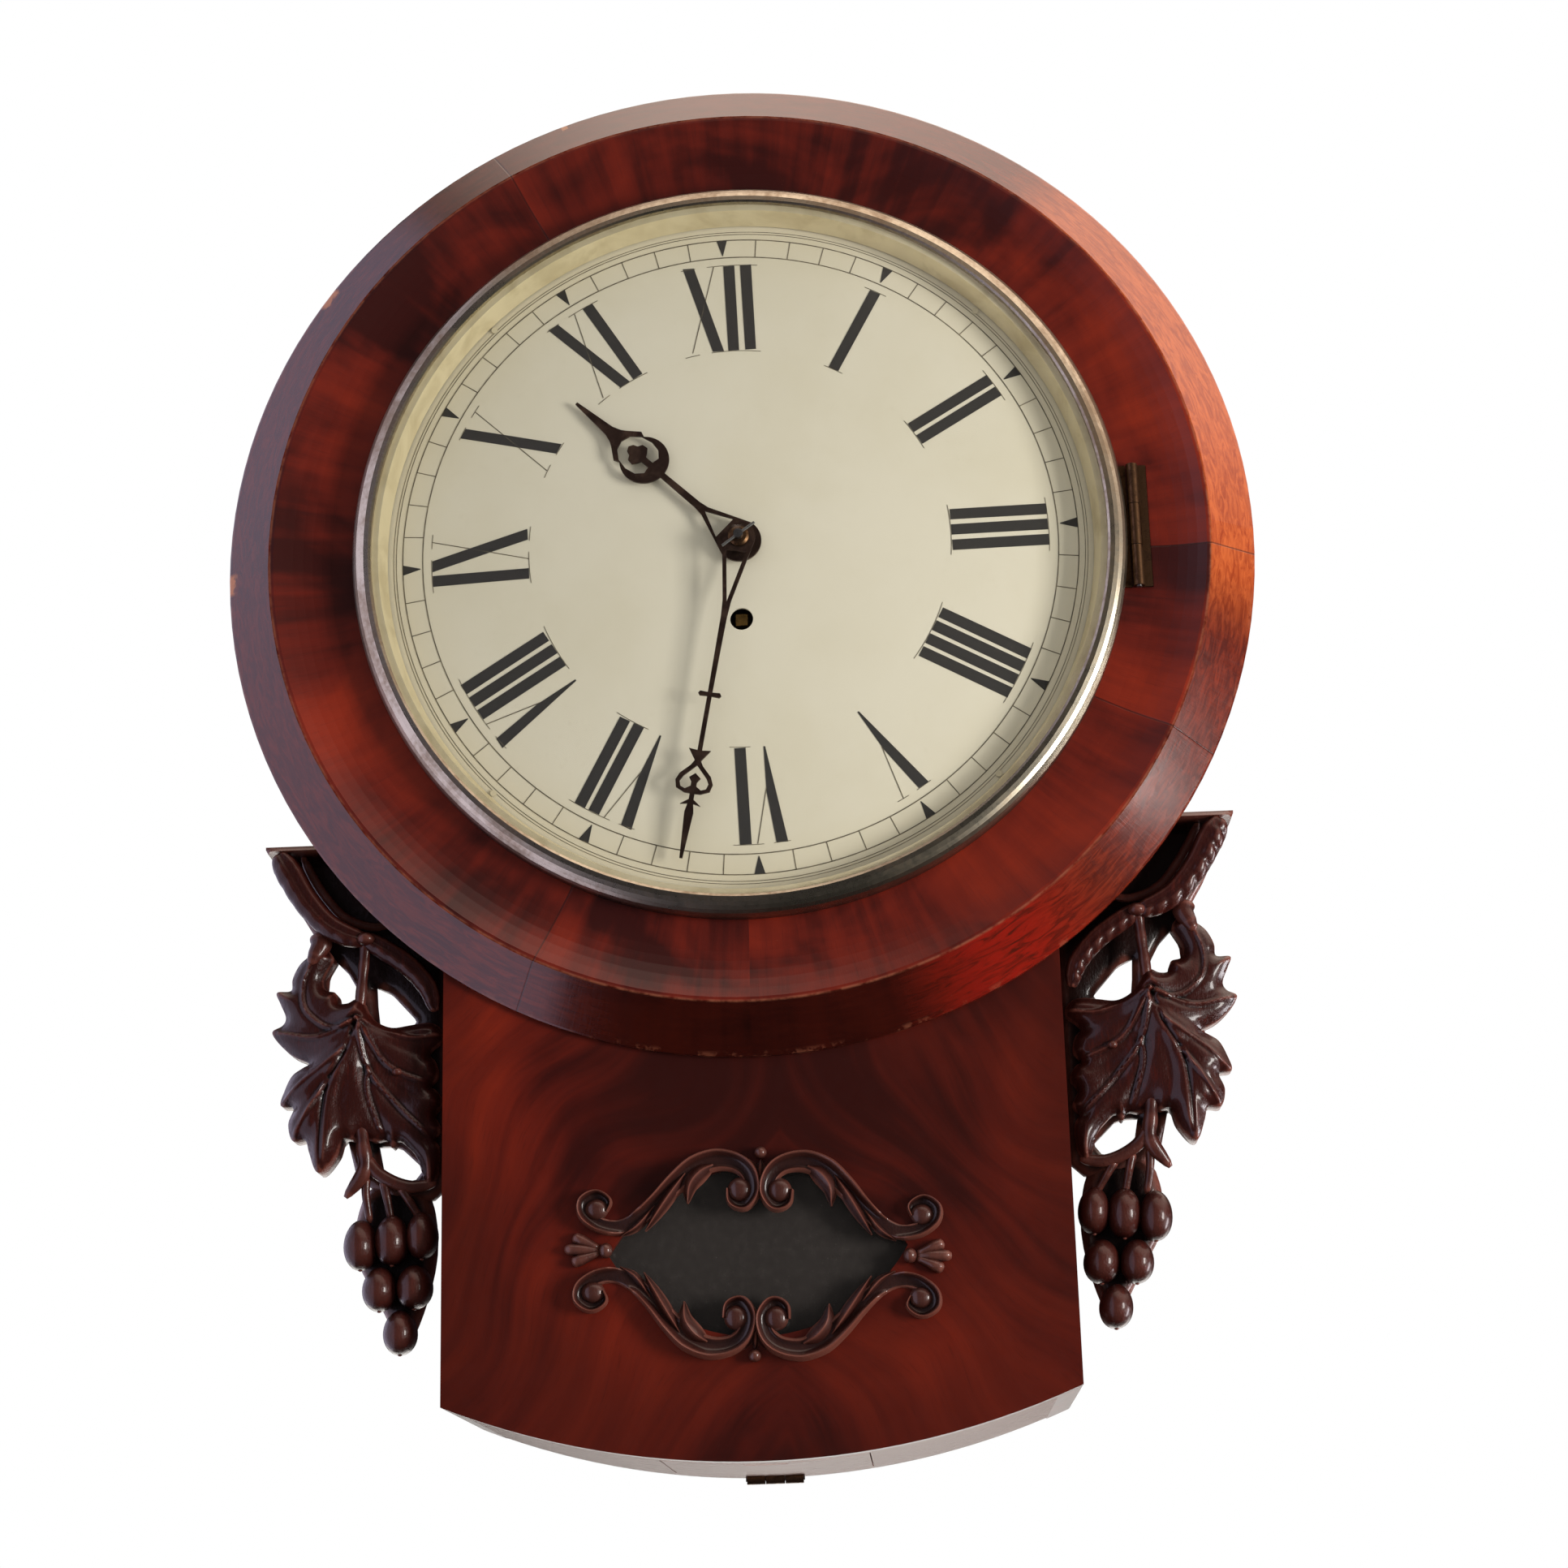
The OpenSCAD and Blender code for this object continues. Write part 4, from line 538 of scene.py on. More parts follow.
@cache
def veneer_round():
    """Surround: figure runs along the radius, in fans that meet at joints; the crest and rim are
    worn. On the bevel, painted light makes the right side lighter and warmer, and painted shade
    makes the foot nearly black."""
    f = Finish("surround_veneer")
    x, d, z = f.axes()
    r = f.radius()
    ray = f.vector("NORMALIZE", f.join(x, 0.0, z))
    angle = x.maths("ARCTAN2", x, z)
    fans = 0.0
    joints = 0.0
    for turn in FAN_JOINTS:
        fans = (angle > math.radians(turn)) * 41.0 + fans
        joints = (abs(angle - math.radians(turn)) * r).band(0.55, 0.15) + joints
    tangent = f.vector("MULTIPLY_ADD", ray, (185, 185, 185), f.join(fans, fans, fans))
    tx, _, tz = f.axes(tangent)
    twisted = f.join(tx, tz, r)
    flame = f.fibres((0.013, 0.013, 0.017), 4, 0.5, 0.7, spot=twisted)
    pores = mahogany_tones(f, twisted, flame, 0.24)
    bevel = r.band(CREST_R - 0.4, CREST_R + 0.4)
    cross = f.fibres((0.05, 0.4, 0.09), 4, 0.6, 1.5, spot=f.join(x, d * 1.5, z))
    red = abs(angle - math.radians(152)).band(0.3, 0.05)
    # Painted light: the right side of the bevel, which faces the lamp, is made lighter and warmer
    painted_light_right = abs(angle - math.radians(70)).band(0.62, 0.42)
    rich = f.mix(cross.band(0.35, 0.7), tint(62, 16, 8), tint(104, 34, 16))
    rich = f.mix(red * cross.band(0.25, 0.6) * 0.75, rich, tint(132, 12, 5))
    painted_lit_tone = f.mix(cross.band(0.3, 0.7), tint(150, 58, 24), tint(196, 96, 46))
    rich = f.mix(painted_light_right * 0.85, rich, painted_lit_tone)
    # Painted shade: the foot of the bevel, which faces down, is made nearly black
    low = abs(angle).band(math.radians(150), math.radians(166))
    rich = f.mix(low * 0.93, rich, tint(15, 3, 2))
    f.base = f.mix(bevel * 0.85, f.base, rich)
    wear = f.noise(0.12, 4, 0.7)
    crest = r.near(CREST_R, 0.9) * wear.band(0.35, 0.6) * 0.5
    rim = r.band(RIM_R - 2.2, RIM_R - 0.2) * wear.band(0.5, 0.62) * 0.28
    f.over(crest + rim, 150, 88, 64)
    chip = 0.0
    for turn, wide in CHIPS:
        chip = abs(angle - math.radians(turn)).band(wide, wide * 0.55) + chip
    chip = chip * (r + wear * 9).band(RIM_R + 0.5, RIM_R + 2.5)
    f.over(chip, 196, 118, 66)
    f.over(joints * 0.6, 26, 9, 7)
    f.over(f.noise(1.3, 2, 0.6).band(0.74, 0.8) * 0.25, 150, 100, 80)
    rough = 0.3 - bevel * 0.17 + pores * 0.06 + wear * 0.05
    height = pores * -0.25 - joints * 0.6 + wear * 0.25
    return f.done(f.surface(rough, 0.0, height, 0.12, specular_ior_level=0.3,
                            coat_weight=0.45, coat_roughness=0.05))


@cache
def veneer_flat():
    """Trunk and sides: flame figure that rises and spreads, with fine pores along it."""
    f = Finish("trunk_veneer")
    x, d, z = f.axes()
    sway = f.noise(1, 2, 0.5, spot=f.join(x * 0.006, d * 0.006, z * 0.005))
    aside = abs(x - 10) * 0.9
    lean = aside * 0.75 + z * 0.5 + d * 0.6 + sway * 120
    along = z * 0.86 - aside * 0.5 + sway * 70
    grain = f.join(lean, d * 0.5, along)
    flame = f.noise(1, 4, 0.5, 0.6, spot=f.join(lean * 0.016, d * 0.012, along * 0.008))
    pores = mahogany_tones(f, grain, flame, 0.3)
    edge = f.noise(0.3, 3, 0.6)
    f.over(sway.band(0.42, 0.58) * 0.55, 40, 12, 8)
    f.over(abs(x).band(100, 130) * 0.3, 30, 10, 7)
    f.over(f.noise(1.2, 2, 0.6).band(0.73, 0.8) * 0.25, 150, 100, 80)
    return f.done(f.surface(0.26 + edge * 0.1, 0.0, pores * -0.3 + edge * 0.3, 0.1,
                            specular_ior_level=0.25, coat_weight=0.12, coat_roughness=0.1))


@cache
def carved_wood():
    """Carving: painted shade darkens its deep parts and hollows; it is warmer and shinier on the
    worn heights, and the light colour on its edges is partly rubbed wear and partly a painted
    highlight.
    """
    f = Finish("carved_mahogany")
    d = f.axes()[1]
    grain = f.fibres((0.5, 0.5, 0.07), 4, 0.65, 0.4)
    cuts = f.noise(0.55, 3, 0.6)
    fine = f.fibres((2.4, 2.4, 0.3), 2, 0.5)
    # Painted shade: the deeper a place lies, the nearer its colour is to a near black brown
    level = (d + cuts * 3).band(106, 121)
    folds = f.folds()
    f.base = f.mix(level, tint(20, 8, 6), tones().carving)
    f.over(grain.band(0.5, 0.75) * 0.6 * level, 70, 19, 11)
    # Painted shade in the hollows; on the edges a light colour that is partly rubbed wear and
    # partly a painted highlight
    f.over(folds.band(0.497, 0.45) * 0.95, 10, 4, 3)
    f.over(folds.band(0.52, 0.57) * 0.7, 112, 62, 52)
    f.over(fine.band(0.6, 0.75) * 0.3, 18, 8, 6)
    return f.done(f.surface(0.3 + cuts * 0.16, 0.0, cuts * 0.8 + fine * 0.3, 0.35,
                            specular_ior_level=0.16, coat_weight=0.28, coat_roughness=0.12))


@cache
def scroll_wood():
    """The frame on the trunk: brown; painted shade darkens its low parts and hollows, and the
    light colour on its crests is partly rubbed wear and partly a painted highlight.
    """
    f = Finish("scroll_mahogany")
    d = f.axes()[1]
    cuts = f.noise(0.6, 3, 0.6)
    fine = f.fibres((1.6, 1.6, 0.6), 3, 0.6)
    # Painted shade: the lower a place lies towards the trunk, the nearer its colour is to a near
    # black brown
    level = (d + cuts * 1.6).band(125.5, 130.5)
    folds = f.folds()
    f.base = f.mix(level, tint(18, 8, 7), tint(56, 26, 21))
    # Painted shade in the hollows; on the crests a light colour that is partly rubbed wear and
    # partly a painted highlight
    f.over(folds.band(0.495, 0.43) * 0.85, 14, 6, 5)
    f.over(folds.band(0.52, 0.58) * 0.65, 122, 72, 60)
    f.over(fine.band(0.55, 0.75) * 0.5, 38, 16, 12)
    return f.done(f.surface(0.32 + fine * 0.15, 0.0, fine * 0.5, 0.3,
                            specular_ior_level=0.2, coat_weight=0.4, coat_roughness=0.14))


@cache
def pine():
    """Plain softwood: wavering year rings along the height, darker in blotches."""
    f = Finish("plain_pine")
    x, d, z = f.axes()
    sway = f.noise(1, 2, 0.5, spot=f.join(x * 0.01, d * 0.02, z * 0.004))
    rings = (x * 0.5 + sway * 50 + d * 0.21).sine()
    fine = f.fibres((1.2, 1.2, 0.05), 3, 0.6)
    dirt = f.noise(0.02, 4, 0.6)
    f.base = f.mix(rings.band(-0.4, 1.0) * 0.5, tones().pine, tint(112, 76, 44))
    f.over(fine.band(0.5, 0.7) * 0.4, 92, 62, 38)
    f.over(dirt.band(0.45, 0.7) * 0.5, 84, 58, 40)
    return f.done(f.surface(0.62 + fine * 0.2, 0.0, fine * 0.6 + rings * 0.1, 0.15))


@cache
def foot_wood():
    """Curved bottom: polished, its pale pink colour a painted reflection of the white surroundings
    seen at a flat angle, streaked from side to side, with a little dust.
    """
    f = Finish("painted_reflection_bottom")
    fine = f.fibres((0.08, 1.2, 1.2), 4, 0.6)
    dust = f.noise(0.03, 3, 0.6)
    # Painted reflection: pale pink in place of the wood's own colour, for the white surroundings
    # mirrored in the polish
    f.base = f.mix(fine.band(0.35, 0.7), tint(214, 178, 168), tint(190, 150, 140))
    f.over(dust.band(0.4, 0.7) * 0.5, 228, 204, 196)
    return f.done(f.surface(0.3 + dust * 0.15, 0.0, fine * 0.5, 0.1, coat_weight=1.0,
                            coat_roughness=0.12))


def metal(name, tone, dull, rough, stain, scale=0.08):
    """Worn metal: clean tone and dull tone mixed by blotches, with fine scratches."""
    f = Finish(name)
    blotch = f.noise(scale, 4, 0.65, 0.6)
    spots = f.noise(scale * 9, 3, 0.6)
    fine = f.fibres((3, 3, 0.2), 2, 0.5)
    share = (blotch * 0.7 + spots * 0.3).band(0.42, 0.66) * stain
    f.base = f.mix(share, tone, dull)
    return f.done(f.surface(rough + share * 0.25 + fine * 0.08, 1.0,
                            fine * 0.3 + spots * 0.3, 0.04))


@cache
def plain_brass():
    return metal("clean_brass", tones().brass, tint(120, 88, 44), 0.22, 0.5)


@cache
def aged_brass():
    return metal("aged_brass", tint(92, 68, 48), tint(38, 25, 19), 0.36, 0.8, 0.25)


@cache
def bezel_metal():
    """Cast bezel: silvery where rubbed, brown where the lacquer stays, darker brown towards its
    back next to the wood, turned lines all round.
    """
    f = Finish("bezel_metal")
    d, r = f.axes()[1], f.radius()
    blotch = f.noise(0.03, 4, 0.6, 0.5)
    spots = f.noise(0.5, 3, 0.6)
    turned = f.noise(1, 2, 0.5, spot=f.join(r * 3, d * 3, blotch))
    share = (blotch * 0.7 + spots * 0.3).band(0.4, 0.64) * 0.7
    f.base = f.mix(share, tones().bezel, tint(120, 100, 78))
    f.over(d.band(140.5, 138.0) * 0.55, 74, 52, 38)
    return f.done(f.surface(0.27 + share * 0.18, 1.0, turned * 0.5 + spots * 0.3, 0.05))


@cache
def gilt_metal():
    """Sight ring: gilt, rubbed pale, with turned lines."""
    f = Finish("gilt_ring")
    d, r = f.axes()[1], f.radius()
    blotch = f.noise(0.05, 4, 0.6, 0.5)
    turned = f.noise(1, 2, 0.5, spot=f.join(r * 2.5, d * 2.5, blotch))
    f.base = f.mix(blotch.band(0.4, 0.7) * 0.6, tones().gilt, tint(196, 180, 140))
    return f.done(f.surface(0.46 + blotch * 0.1, 0.55, turned, 0.04))


@cache
def polished_steel():
    return metal("polished_steel", tones().steel, tint(84, 80, 78), 0.24, 0.5, 0.2)


@cache
def browned_steel():
    """Hands: browned steel with rubbed, brighter patches."""
    f = Finish("browned_steel")
    blotch = f.noise(0.12, 4, 0.6, 0.4)
    fine = f.noise(1.6, 3, 0.6)
    f.base = f.mix(blotch.band(0.4, 0.7) * 0.7, tones().browned, tint(104, 82, 70))
    return f.done(f.surface(0.34 + fine * 0.16, 0.85, fine * 0.5, 0.05))


@cache
def spring_steel():
    return metal("spring_steel", tint(92, 98, 112), tint(52, 52, 66), 0.28, 0.7, 0.1)


@cache
def dial_paint():
    """Cream paint, yellower towards the edge, with faint stains and dust specks."""
    f = Finish("dial_paint")
    r = f.radius()
    cloud = f.noise(0.012, 5, 0.6, 0.3)
    fine = f.noise(0.35, 4, 0.65)
    f.base = f.mix(cloud.band(0.35, 0.7) * 0.35, tones().dial, tint(200, 190, 164))
    f.over(r.band(118, 153) * 0.3, 196, 184, 152)
    f.over(fine.band(0.55, 0.75) * 0.12, 176, 164, 138)
    f.over(f.noise(1.1, 2, 0.5).band(0.76, 0.82) * 0.3, 150, 134, 104)
    return f.done(f.surface(0.42 + fine * 0.12, 0.0, fine * 0.4 + cloud * 0.5, 0.06))


@cache
def print_ink():
    """Printed black, rubbed a little through to the paint."""
    f = Finish("dial_ink")
    wear = f.noise(0.5, 4, 0.7)
    f.base = f.mix(wear.band(0.62, 0.8) * 0.25, tones().ink, tint(104, 96, 84))
    return f.done(f.surface(0.5 + wear * 0.1))


@cache
def faint_ink():
    """Fine rings and ticks, thinned by age."""
    f = Finish("faint_ink")
    wear = f.noise(0.3, 4, 0.7)
    f.base = f.mix(wear.band(0.4, 0.75), tint(84, 76, 62), tint(130, 120, 98))
    return f.done(f.surface(0.55 + wear * 0.1))


@cache
def clear_glass():
    """Old domed glass: lets the dial through and mirrors a little, more at flat angles."""
    f = Finish("dial_glass")
    smear = f.noise(0.02, 4, 0.6, 0.6)
    gleam = f.wire("ShaderNodeBsdfGlossy", None, {"Color": (1, 1, 1), "Roughness": 0.03})
    clear = f.wire("ShaderNodeBsdfTransparent", None, {"Color": (0.985, 0.99, 0.98)})
    rim = f.wire("ShaderNodeLayerWeight", None, {"Blend": 0.5}, "Facing")
    share = (rim ** 4 * 0.7 + 0.02) * (0.85 + smear * 0.3)
    return f.done(f.wire("ShaderNodeMixShader", None, {0: share, 1: clear, 2: gleam}))


@cache
def window_glass():
    """Window glass with dust behind it; mostly opaque, its dark grey is painted shade for the
    unlit box beyond.
    """
    f = Finish("window_glass")
    dust = f.noise(0.25, 5, 0.7)
    speck = f.noise(1.5, 2, 0.5).band(0.66, 0.76)
    # Painted shade: the glass is mostly opaque and dark grey, standing for the unlit inside of the
    # box
    f.base = f.mix(dust.band(0.4, 0.8) * 0.12 + speck * 0.4, tint(50, 46, 44), tint(92, 86, 82))
    dull = f.surface(0.14, specular_ior_level=0.5)
    clear = f.wire("ShaderNodeBsdfTransparent", None, {"Color": (0.5, 0.52, 0.5)})
    return f.done(f.wire("ShaderNodeMixShader", None, {0: 0.8 + dust * 0.15, 1: clear, 2: dull}))


@cache
def screw_brass():
    """Screws: brass behind, cream paint on the four that hold the dial."""
    f = Finish("screw_brass")
    d = f.axes()[1]
    fine = f.noise(0.8, 3, 0.6)
    front = d.band(120, 124)
    f.base = f.mix(fine * 0.6, tint(150, 118, 74), tint(88, 66, 40))
    f.over(front, 200, 190, 164)
    return f.done(f.surface(0.35 + fine * 0.15, 1 - front))


@cache
def gut_line():
    """Fusee line: twisted gut, tan, with a lay of fine ridges."""
    f = Finish("gut_line")
    x, d, z = f.axes()
    lay = ((x + d + z) * 7).sine()
    fine = f.noise(1.2, 3, 0.6)
    f.base = f.mix(lay.band(-0.6, 0.8) * 0.5 + fine * 0.3, tint(168, 130, 80), tint(106, 76, 44))
    return f.done(f.surface(0.5 + fine * 0.1, 0.0, lay, 0.05))


# Carved ears. Points are the distance from the dial's axis and the height from its centre.
LEAF = [(179, -166.5), (184, -169), (189, -173), (192, -179), (192.5, -184), (198.5, -184.5),
        (197, -189), (194.5, -195), (196, -198.5), (200, -201), (197, -206), (191, -211.5),
        (184, -215), (186.5, -217), (191, -220), (194, -226), (195.5, -232), (190, -233.5),
        (192, -240), (190, -247), (184.5, -247), (182.5, -253), (178.6, -261), (172, -254),
        (169.5, -247), (165, -247.5), (162, -246), (157, -248), (152, -247.5), (149.5, -251),
        (147, -248), (143, -251), (139, -256), (135, -267), (130.5, -262), (130, -252),
        (132, -248), (129.5, -244), (132, -238), (129, -233), (131.5, -228), (134, -226),
        (131, -222), (132, -216), (134.5, -212), (128.5, -206), (131, -201), (136, -199.5),
        (143, -200.5), (150, -201.5), (156, -199), (160, -194), (162, -190), (165, -189.5),
        (168, -191), (172, -190.5), (173.5, -186), (178, -184.5), (179.5, -180), (177, -175),
        (175, -171)]
VEINS = [[(163.5, -198), (171, -201), (178, -200), (185.7, -192.6), (187, -182.4), (184, -173.5)],
         [(163.5, -198), (180, -205), (197, -202)],
         [(166, -206), (170, -212), (184, -222), (194, -231)],
         [(163.5, -198), (169, -214), (174.6, -223.5), (177, -235), (177.8, -258)],
         [(174.6, -223.5), (184, -237), (189, -245)],
         [(163.5, -198), (143, -206), (129, -205)],
         [(163.5, -198), (150.8, -217.6), (131, -226.5)],
         [(163.5, -198), (158.8, -219), (146, -235), (132, -250), (131, -263)],
         [(158.8, -219), (158.8, -229.4), (152.4, -248)]]
VALLEYS = [[(194, -198), (180, -202), (172, -202)], [(184, -215), (172, -208), (165, -200)],
           [(190, -233.5), (181, -228), (176, -222)], [(182.5, -253), (180, -242), (178, -232)],
           [(132, -215), (150, -208), (160, -201)], [(130, -233), (148, -225), (156, -216)],
           [(149.5, -251), (158, -230), (161, -218)], [(169.5, -247), (170, -232), (167, -218)]]
PLATE = [(127.2, -124.2), (203.9, -124.2), (198, -135), (190, -151), (180, -167), (188, -172),
         (191, -184), (192, -198), (186, -212), (189, -226), (184, -242), (177, -254), (169, -246),
         (165, -262), (150, -272), (134, -272), (127.2, -266)]
HOLES = [[(175, -171), (170, -176), (166, -183), (165, -189), (169, -191), (173, -190),
          (174, -186), (179, -184), (178.5, -177)],
         [(158.5, -182), (152, -185), (141, -197), (143, -200), (150, -201), (157, -198),
          (158, -190)],
         [(156.5, -249), (151, -249), (147, -250), (137.5, -259), (141, -263.5), (150, -263.5),
          (154.5, -259)]]
BUNCH_CORE = [(138, -266), (160, -266), (166, -290), (157, -310), (145, -329), (136, -312),
              (132, -288)]
GRAPES = [(161.9, -290, 6.9, 10.2), (149.2, -288.5, 7.1, 10.2), (137, -287, 6.6, 9.6),
          (154, -308, 7.0, 8.9), (139.8, -307.5, 7.4, 8.9), (145.4, -325.5, 6.9, 8.9)]


def ridge(points, line, wide):
    """1 on a line, falling off round it as a bell of the given width."""
    return np.exp(-(distance(points, curve(line, 5)) / wide) ** 2)


def leaf_height(points, gap):
    """Front of the vine leaf: a rim that rolls back, a fold that falls to both sides of the spine,
    a cut along the spine, thin raised veins and soft hollows between the lobes."""
    sizes = bpy.context.scene.clock_carving
    rise = 1 - np.exp(-(gap / 2.4) ** 1.4)
    spine = distance(points, curve(VEINS[3], 5))
    level = 112.0 + 4.6 * rise + 6.0 * np.exp(-(spine / 15) ** 2)
    level += 0.9 * np.sin(points[:, 0] * 0.24 + 1) * np.cos(points[:, 1] * 0.19) * rise
    level -= sizes.valley * np.max([ridge(points, v, 2.4) for v in VALLEYS], 0)
    for vein in VEINS[:3] + VEINS[4:]:
        level += sizes.vein * (ridge(points, vein, 0.8) - 0.5 * ridge(points, vein, 1.9)) * rise
    level -= 1.3 * np.exp(-(spine / 0.8) ** 2) * rise
    return np.clip(level, 106, 124.6)


def twig(shape, places, level, half, ends=0.4, knots=0.0, tall=1.0):
    """A carved stem: a round bar along a smooth path, with rounded ends and slight knots. Its
    depths and half widths are spread along the path."""
    path = trace(places, 7)
    n = len(path)
    path[:, 1] = spread(level, n)
    width = spread(half, n) * swell(n, ends) * (1 + knots * np.sin(np.arange(n) * 0.9))
    a = np.linspace(0, 2 * np.pi, 14, endpoint=False)
    shape.sweep(path, width, width * tall, np.column_stack([np.cos(a), np.sin(a)]))


def branch(shape, places, half, level, notch):
    """The upper branch: a flattened bar with a bead along its inner side. Where notch is more
    than 0, cuts run across its outer side."""
    path = trace(places, 14, level)
    n = len(path)
    t = np.linspace(0, 1, n)[:, None]
    a = np.linspace(0, 2 * np.pi, 28, endpoint=False)[None, :]
    face = 1 - 0.2 * np.exp(-((a - 1.75) / 0.3) ** 2) + 0.05 * np.exp(-((a - 2.4) / 0.25) ** 2)
    cut = 0.5 + 0.5 * np.cos(2 * np.pi * 8 * t + 1.8 * a)
    face = face * (1 - notch * cut ** 2 * np.exp(-((a - 0.6) / 1.0) ** 2))
    section = np.stack([face * np.cos(a), face * np.sin(a)], -1)
    width = spread(half, n) * swell(n, 0.5)
    shape.sweep(path, width, width * 0.9, section)


def carve_ear(side):
    """One ear: backing board, vine leaf, branch, stems and the bunch of grapes. The right ear's
    branch is notched more deeply, and its grapes lean in a little."""
    sizes = bpy.context.scene.clock_carving
    shape = Shape()
    board = [np.array(PLATE, float)] + [np.array(h, float) for h in HOLES]
    relief(shape, board, lambda p, gap: 104.5 + 3.5 * (1 - np.exp(-gap / 2))
           + 14.0 * (p[:, 1] > -127.5), EAR_BACK, 2.0)
    relief(shape, [ring_curve(BUNCH_CORE)], lambda p, gap: 102 + 5 * (1 - np.exp(-gap / 2)),
           EAR_BACK, 2.4)
    relief(shape, [ring_curve(LEAF, 5)], leaf_height, 104.0, sizes.step)
    notch = 0.2 if side > 0 else 0.05
    branch(shape, [(198, -127.6), (192.3, -137), (186, -147.6), (177.5, -157.5), (168.5, -163),
                   (160, -165.4)], [5.2, 5.8, 5.4, 5.0, 4.6, 3.6], 118, notch)
    branch(shape, [(163, -163.5), (154, -168.6), (143, -176.2), (134.6, -186), (131.6, -195.6)],
           [3.4, 4.4, 4.5, 4.2, 3.0], 116.5, notch)
    twig(shape, [(189, -127), (184.4, -136.2), (178, -146), (170, -154.6), (158.8, -158.6),
                 (149.2, -157)], [112, 113, 114, 114, 113, 112], [1.9, 2.1, 2.1, 2.1, 1.9, 1.6])
    twig(shape, [(181, -160), (180, -165), (182, -170), (184, -174)], [112, 113, 115, 116],
         [5.0, 4.6, 3.4, 1.8])
    twig(shape, [(160.5, -163), (161.4, -173), (162.2, -183), (163, -194)], 116,
         [3.0, 2.2, 2.2, 2.6], knots=0.05)
    twig(shape, [(164.3, -222), (162.4, -239), (161, -250), (160.4, -260), (168.3, -270.6)],
         [112, 114, 115, 114, 112], [2.2, 2.6, 2.9, 3.2, 2.4], knots=0.06)
    twig(shape, [(161, -254), (154, -262), (143, -267), (131.5, -266)], [114, 113, 112, 111],
         [2.8, 2.7, 2.7, 2.2])
    for stalk in ([(160, -262), (160, -270), (158.5, -281)],
                  [(153, -264), (151.5, -271), (149.6, -281)],
                  [(146, -267), (142.5, -272.5), (138, -280)]):
        twig(shape, stalk, [112, 112, 110], [2.0, 1.7, 1.5])
    shape.bead((147, 117.8, -220.6), (2.0, 1.8, 1.7))
    shape.bead((160.3, 119, -165), (3.8, 4.0, 2.8))
    s = sizes.grape
    for x, z, wide, tall in GRAPES:
        shape.bead((x, 110.6, z), (wide * s, 9.6 * s, tall * s), 26, 20, 0.06)
        shape.bead((x, 111.5, z - tall * 0.97), (1.0, 1.0, 0.8), 10, 7)
    if side < 0:
        shape.points = [p * [-1, 1, 1] for p in shape.points]
    lean = 0.045 if side > 0 else 0.0
    shape.points = [p + np.stack([np.minimum(p[:, 2] + 262, 0) * lean, 0 * p[:, 0],
                                  1.6 + 0.8 * np.clip((p[:, 2] + 200) / 70, 0, 1)], -1)
                    for p in shape.points]
    name = "ear_left_carving" if side < 0 else "ear_right_carving"
    node = "ear_left" if side < 0 else "ear_right"
    shape.piece(name, carved_wood(), "case", [node], "carved mahogany", 62)


# Scroll frame round the window, drawn round its own middle and then leant
SCROLL = [(11.8, 26.8), (10.6, 21.6), (6.2, 20.4), (2.9, 25.9), (4.6, 33.0), (9.8, 37.4),
          (18.1, 38.6), (26.5, 35.3), (33.9, 28.6), (41.3, 20.4), (48.7, 13.4), (56.1, 9.9),
          (63.5, 10.6), (69.4, 14.8), (70.2, 19.8), (65.8, 22.8), (61.4, 20.4), (62.2, 16.6)]
SCROLL_WIDTH = [2.0, 2.7, 3.3, 3.6, 3.8, 4.2, 4.9, 5.2, 4.7, 3.9, 3.4, 3.2, 3.4, 3.5, 3.3, 2.8,
                2.2, 1.6]


def scroll_section(flip):
    """A hollow strap: a bead along its outer side, a dished floor and a thin inner side."""
    q = np.linspace(-1, 1, 15)[None, :]
    s = q * flip[:, None]
    bead = np.exp(-((s - 0.66) / 0.24) ** 2)
    floor = 0.3 + 0.16 * (s + 1) ** 2 * 0.5 + 0.14 * np.exp(-((s + 0.75) / 0.2) ** 2)
    edge = np.clip((1 - np.abs(q)) / 0.2, 0, 1) ** 0.5
    top = (floor + 0.58 * bead) * edge
    q = np.broadcast_to(q, top.shape)
    foot = np.stack([q[:, ::-1], 0 * q], -1)[:, 1:-1]
    return np.concatenate([np.stack([q, top], -1), foot], 1)


def leaflet(shape, places, half, high):
    """A small leaf: pointed at both ends, ridged along its middle."""
    path = trace(places, 8)
    t = np.linspace(0, 1, len(path))
    q = np.linspace(-1, 1, 9)
    top = (1 - np.abs(q)) ** 0.6
    section = np.concatenate([np.column_stack([q, top]), np.column_stack([q[::-1], 0 * q])[1:-1]])
    width = half * (np.sin(np.pi * np.clip(t, 0.02, 0.99) ** 0.75) ** 0.8) + 0.15
    shape.sweep(path, width, high * (0.35 + 0.65 * np.sin(np.pi * t * 0.85 + 0.3)), section)


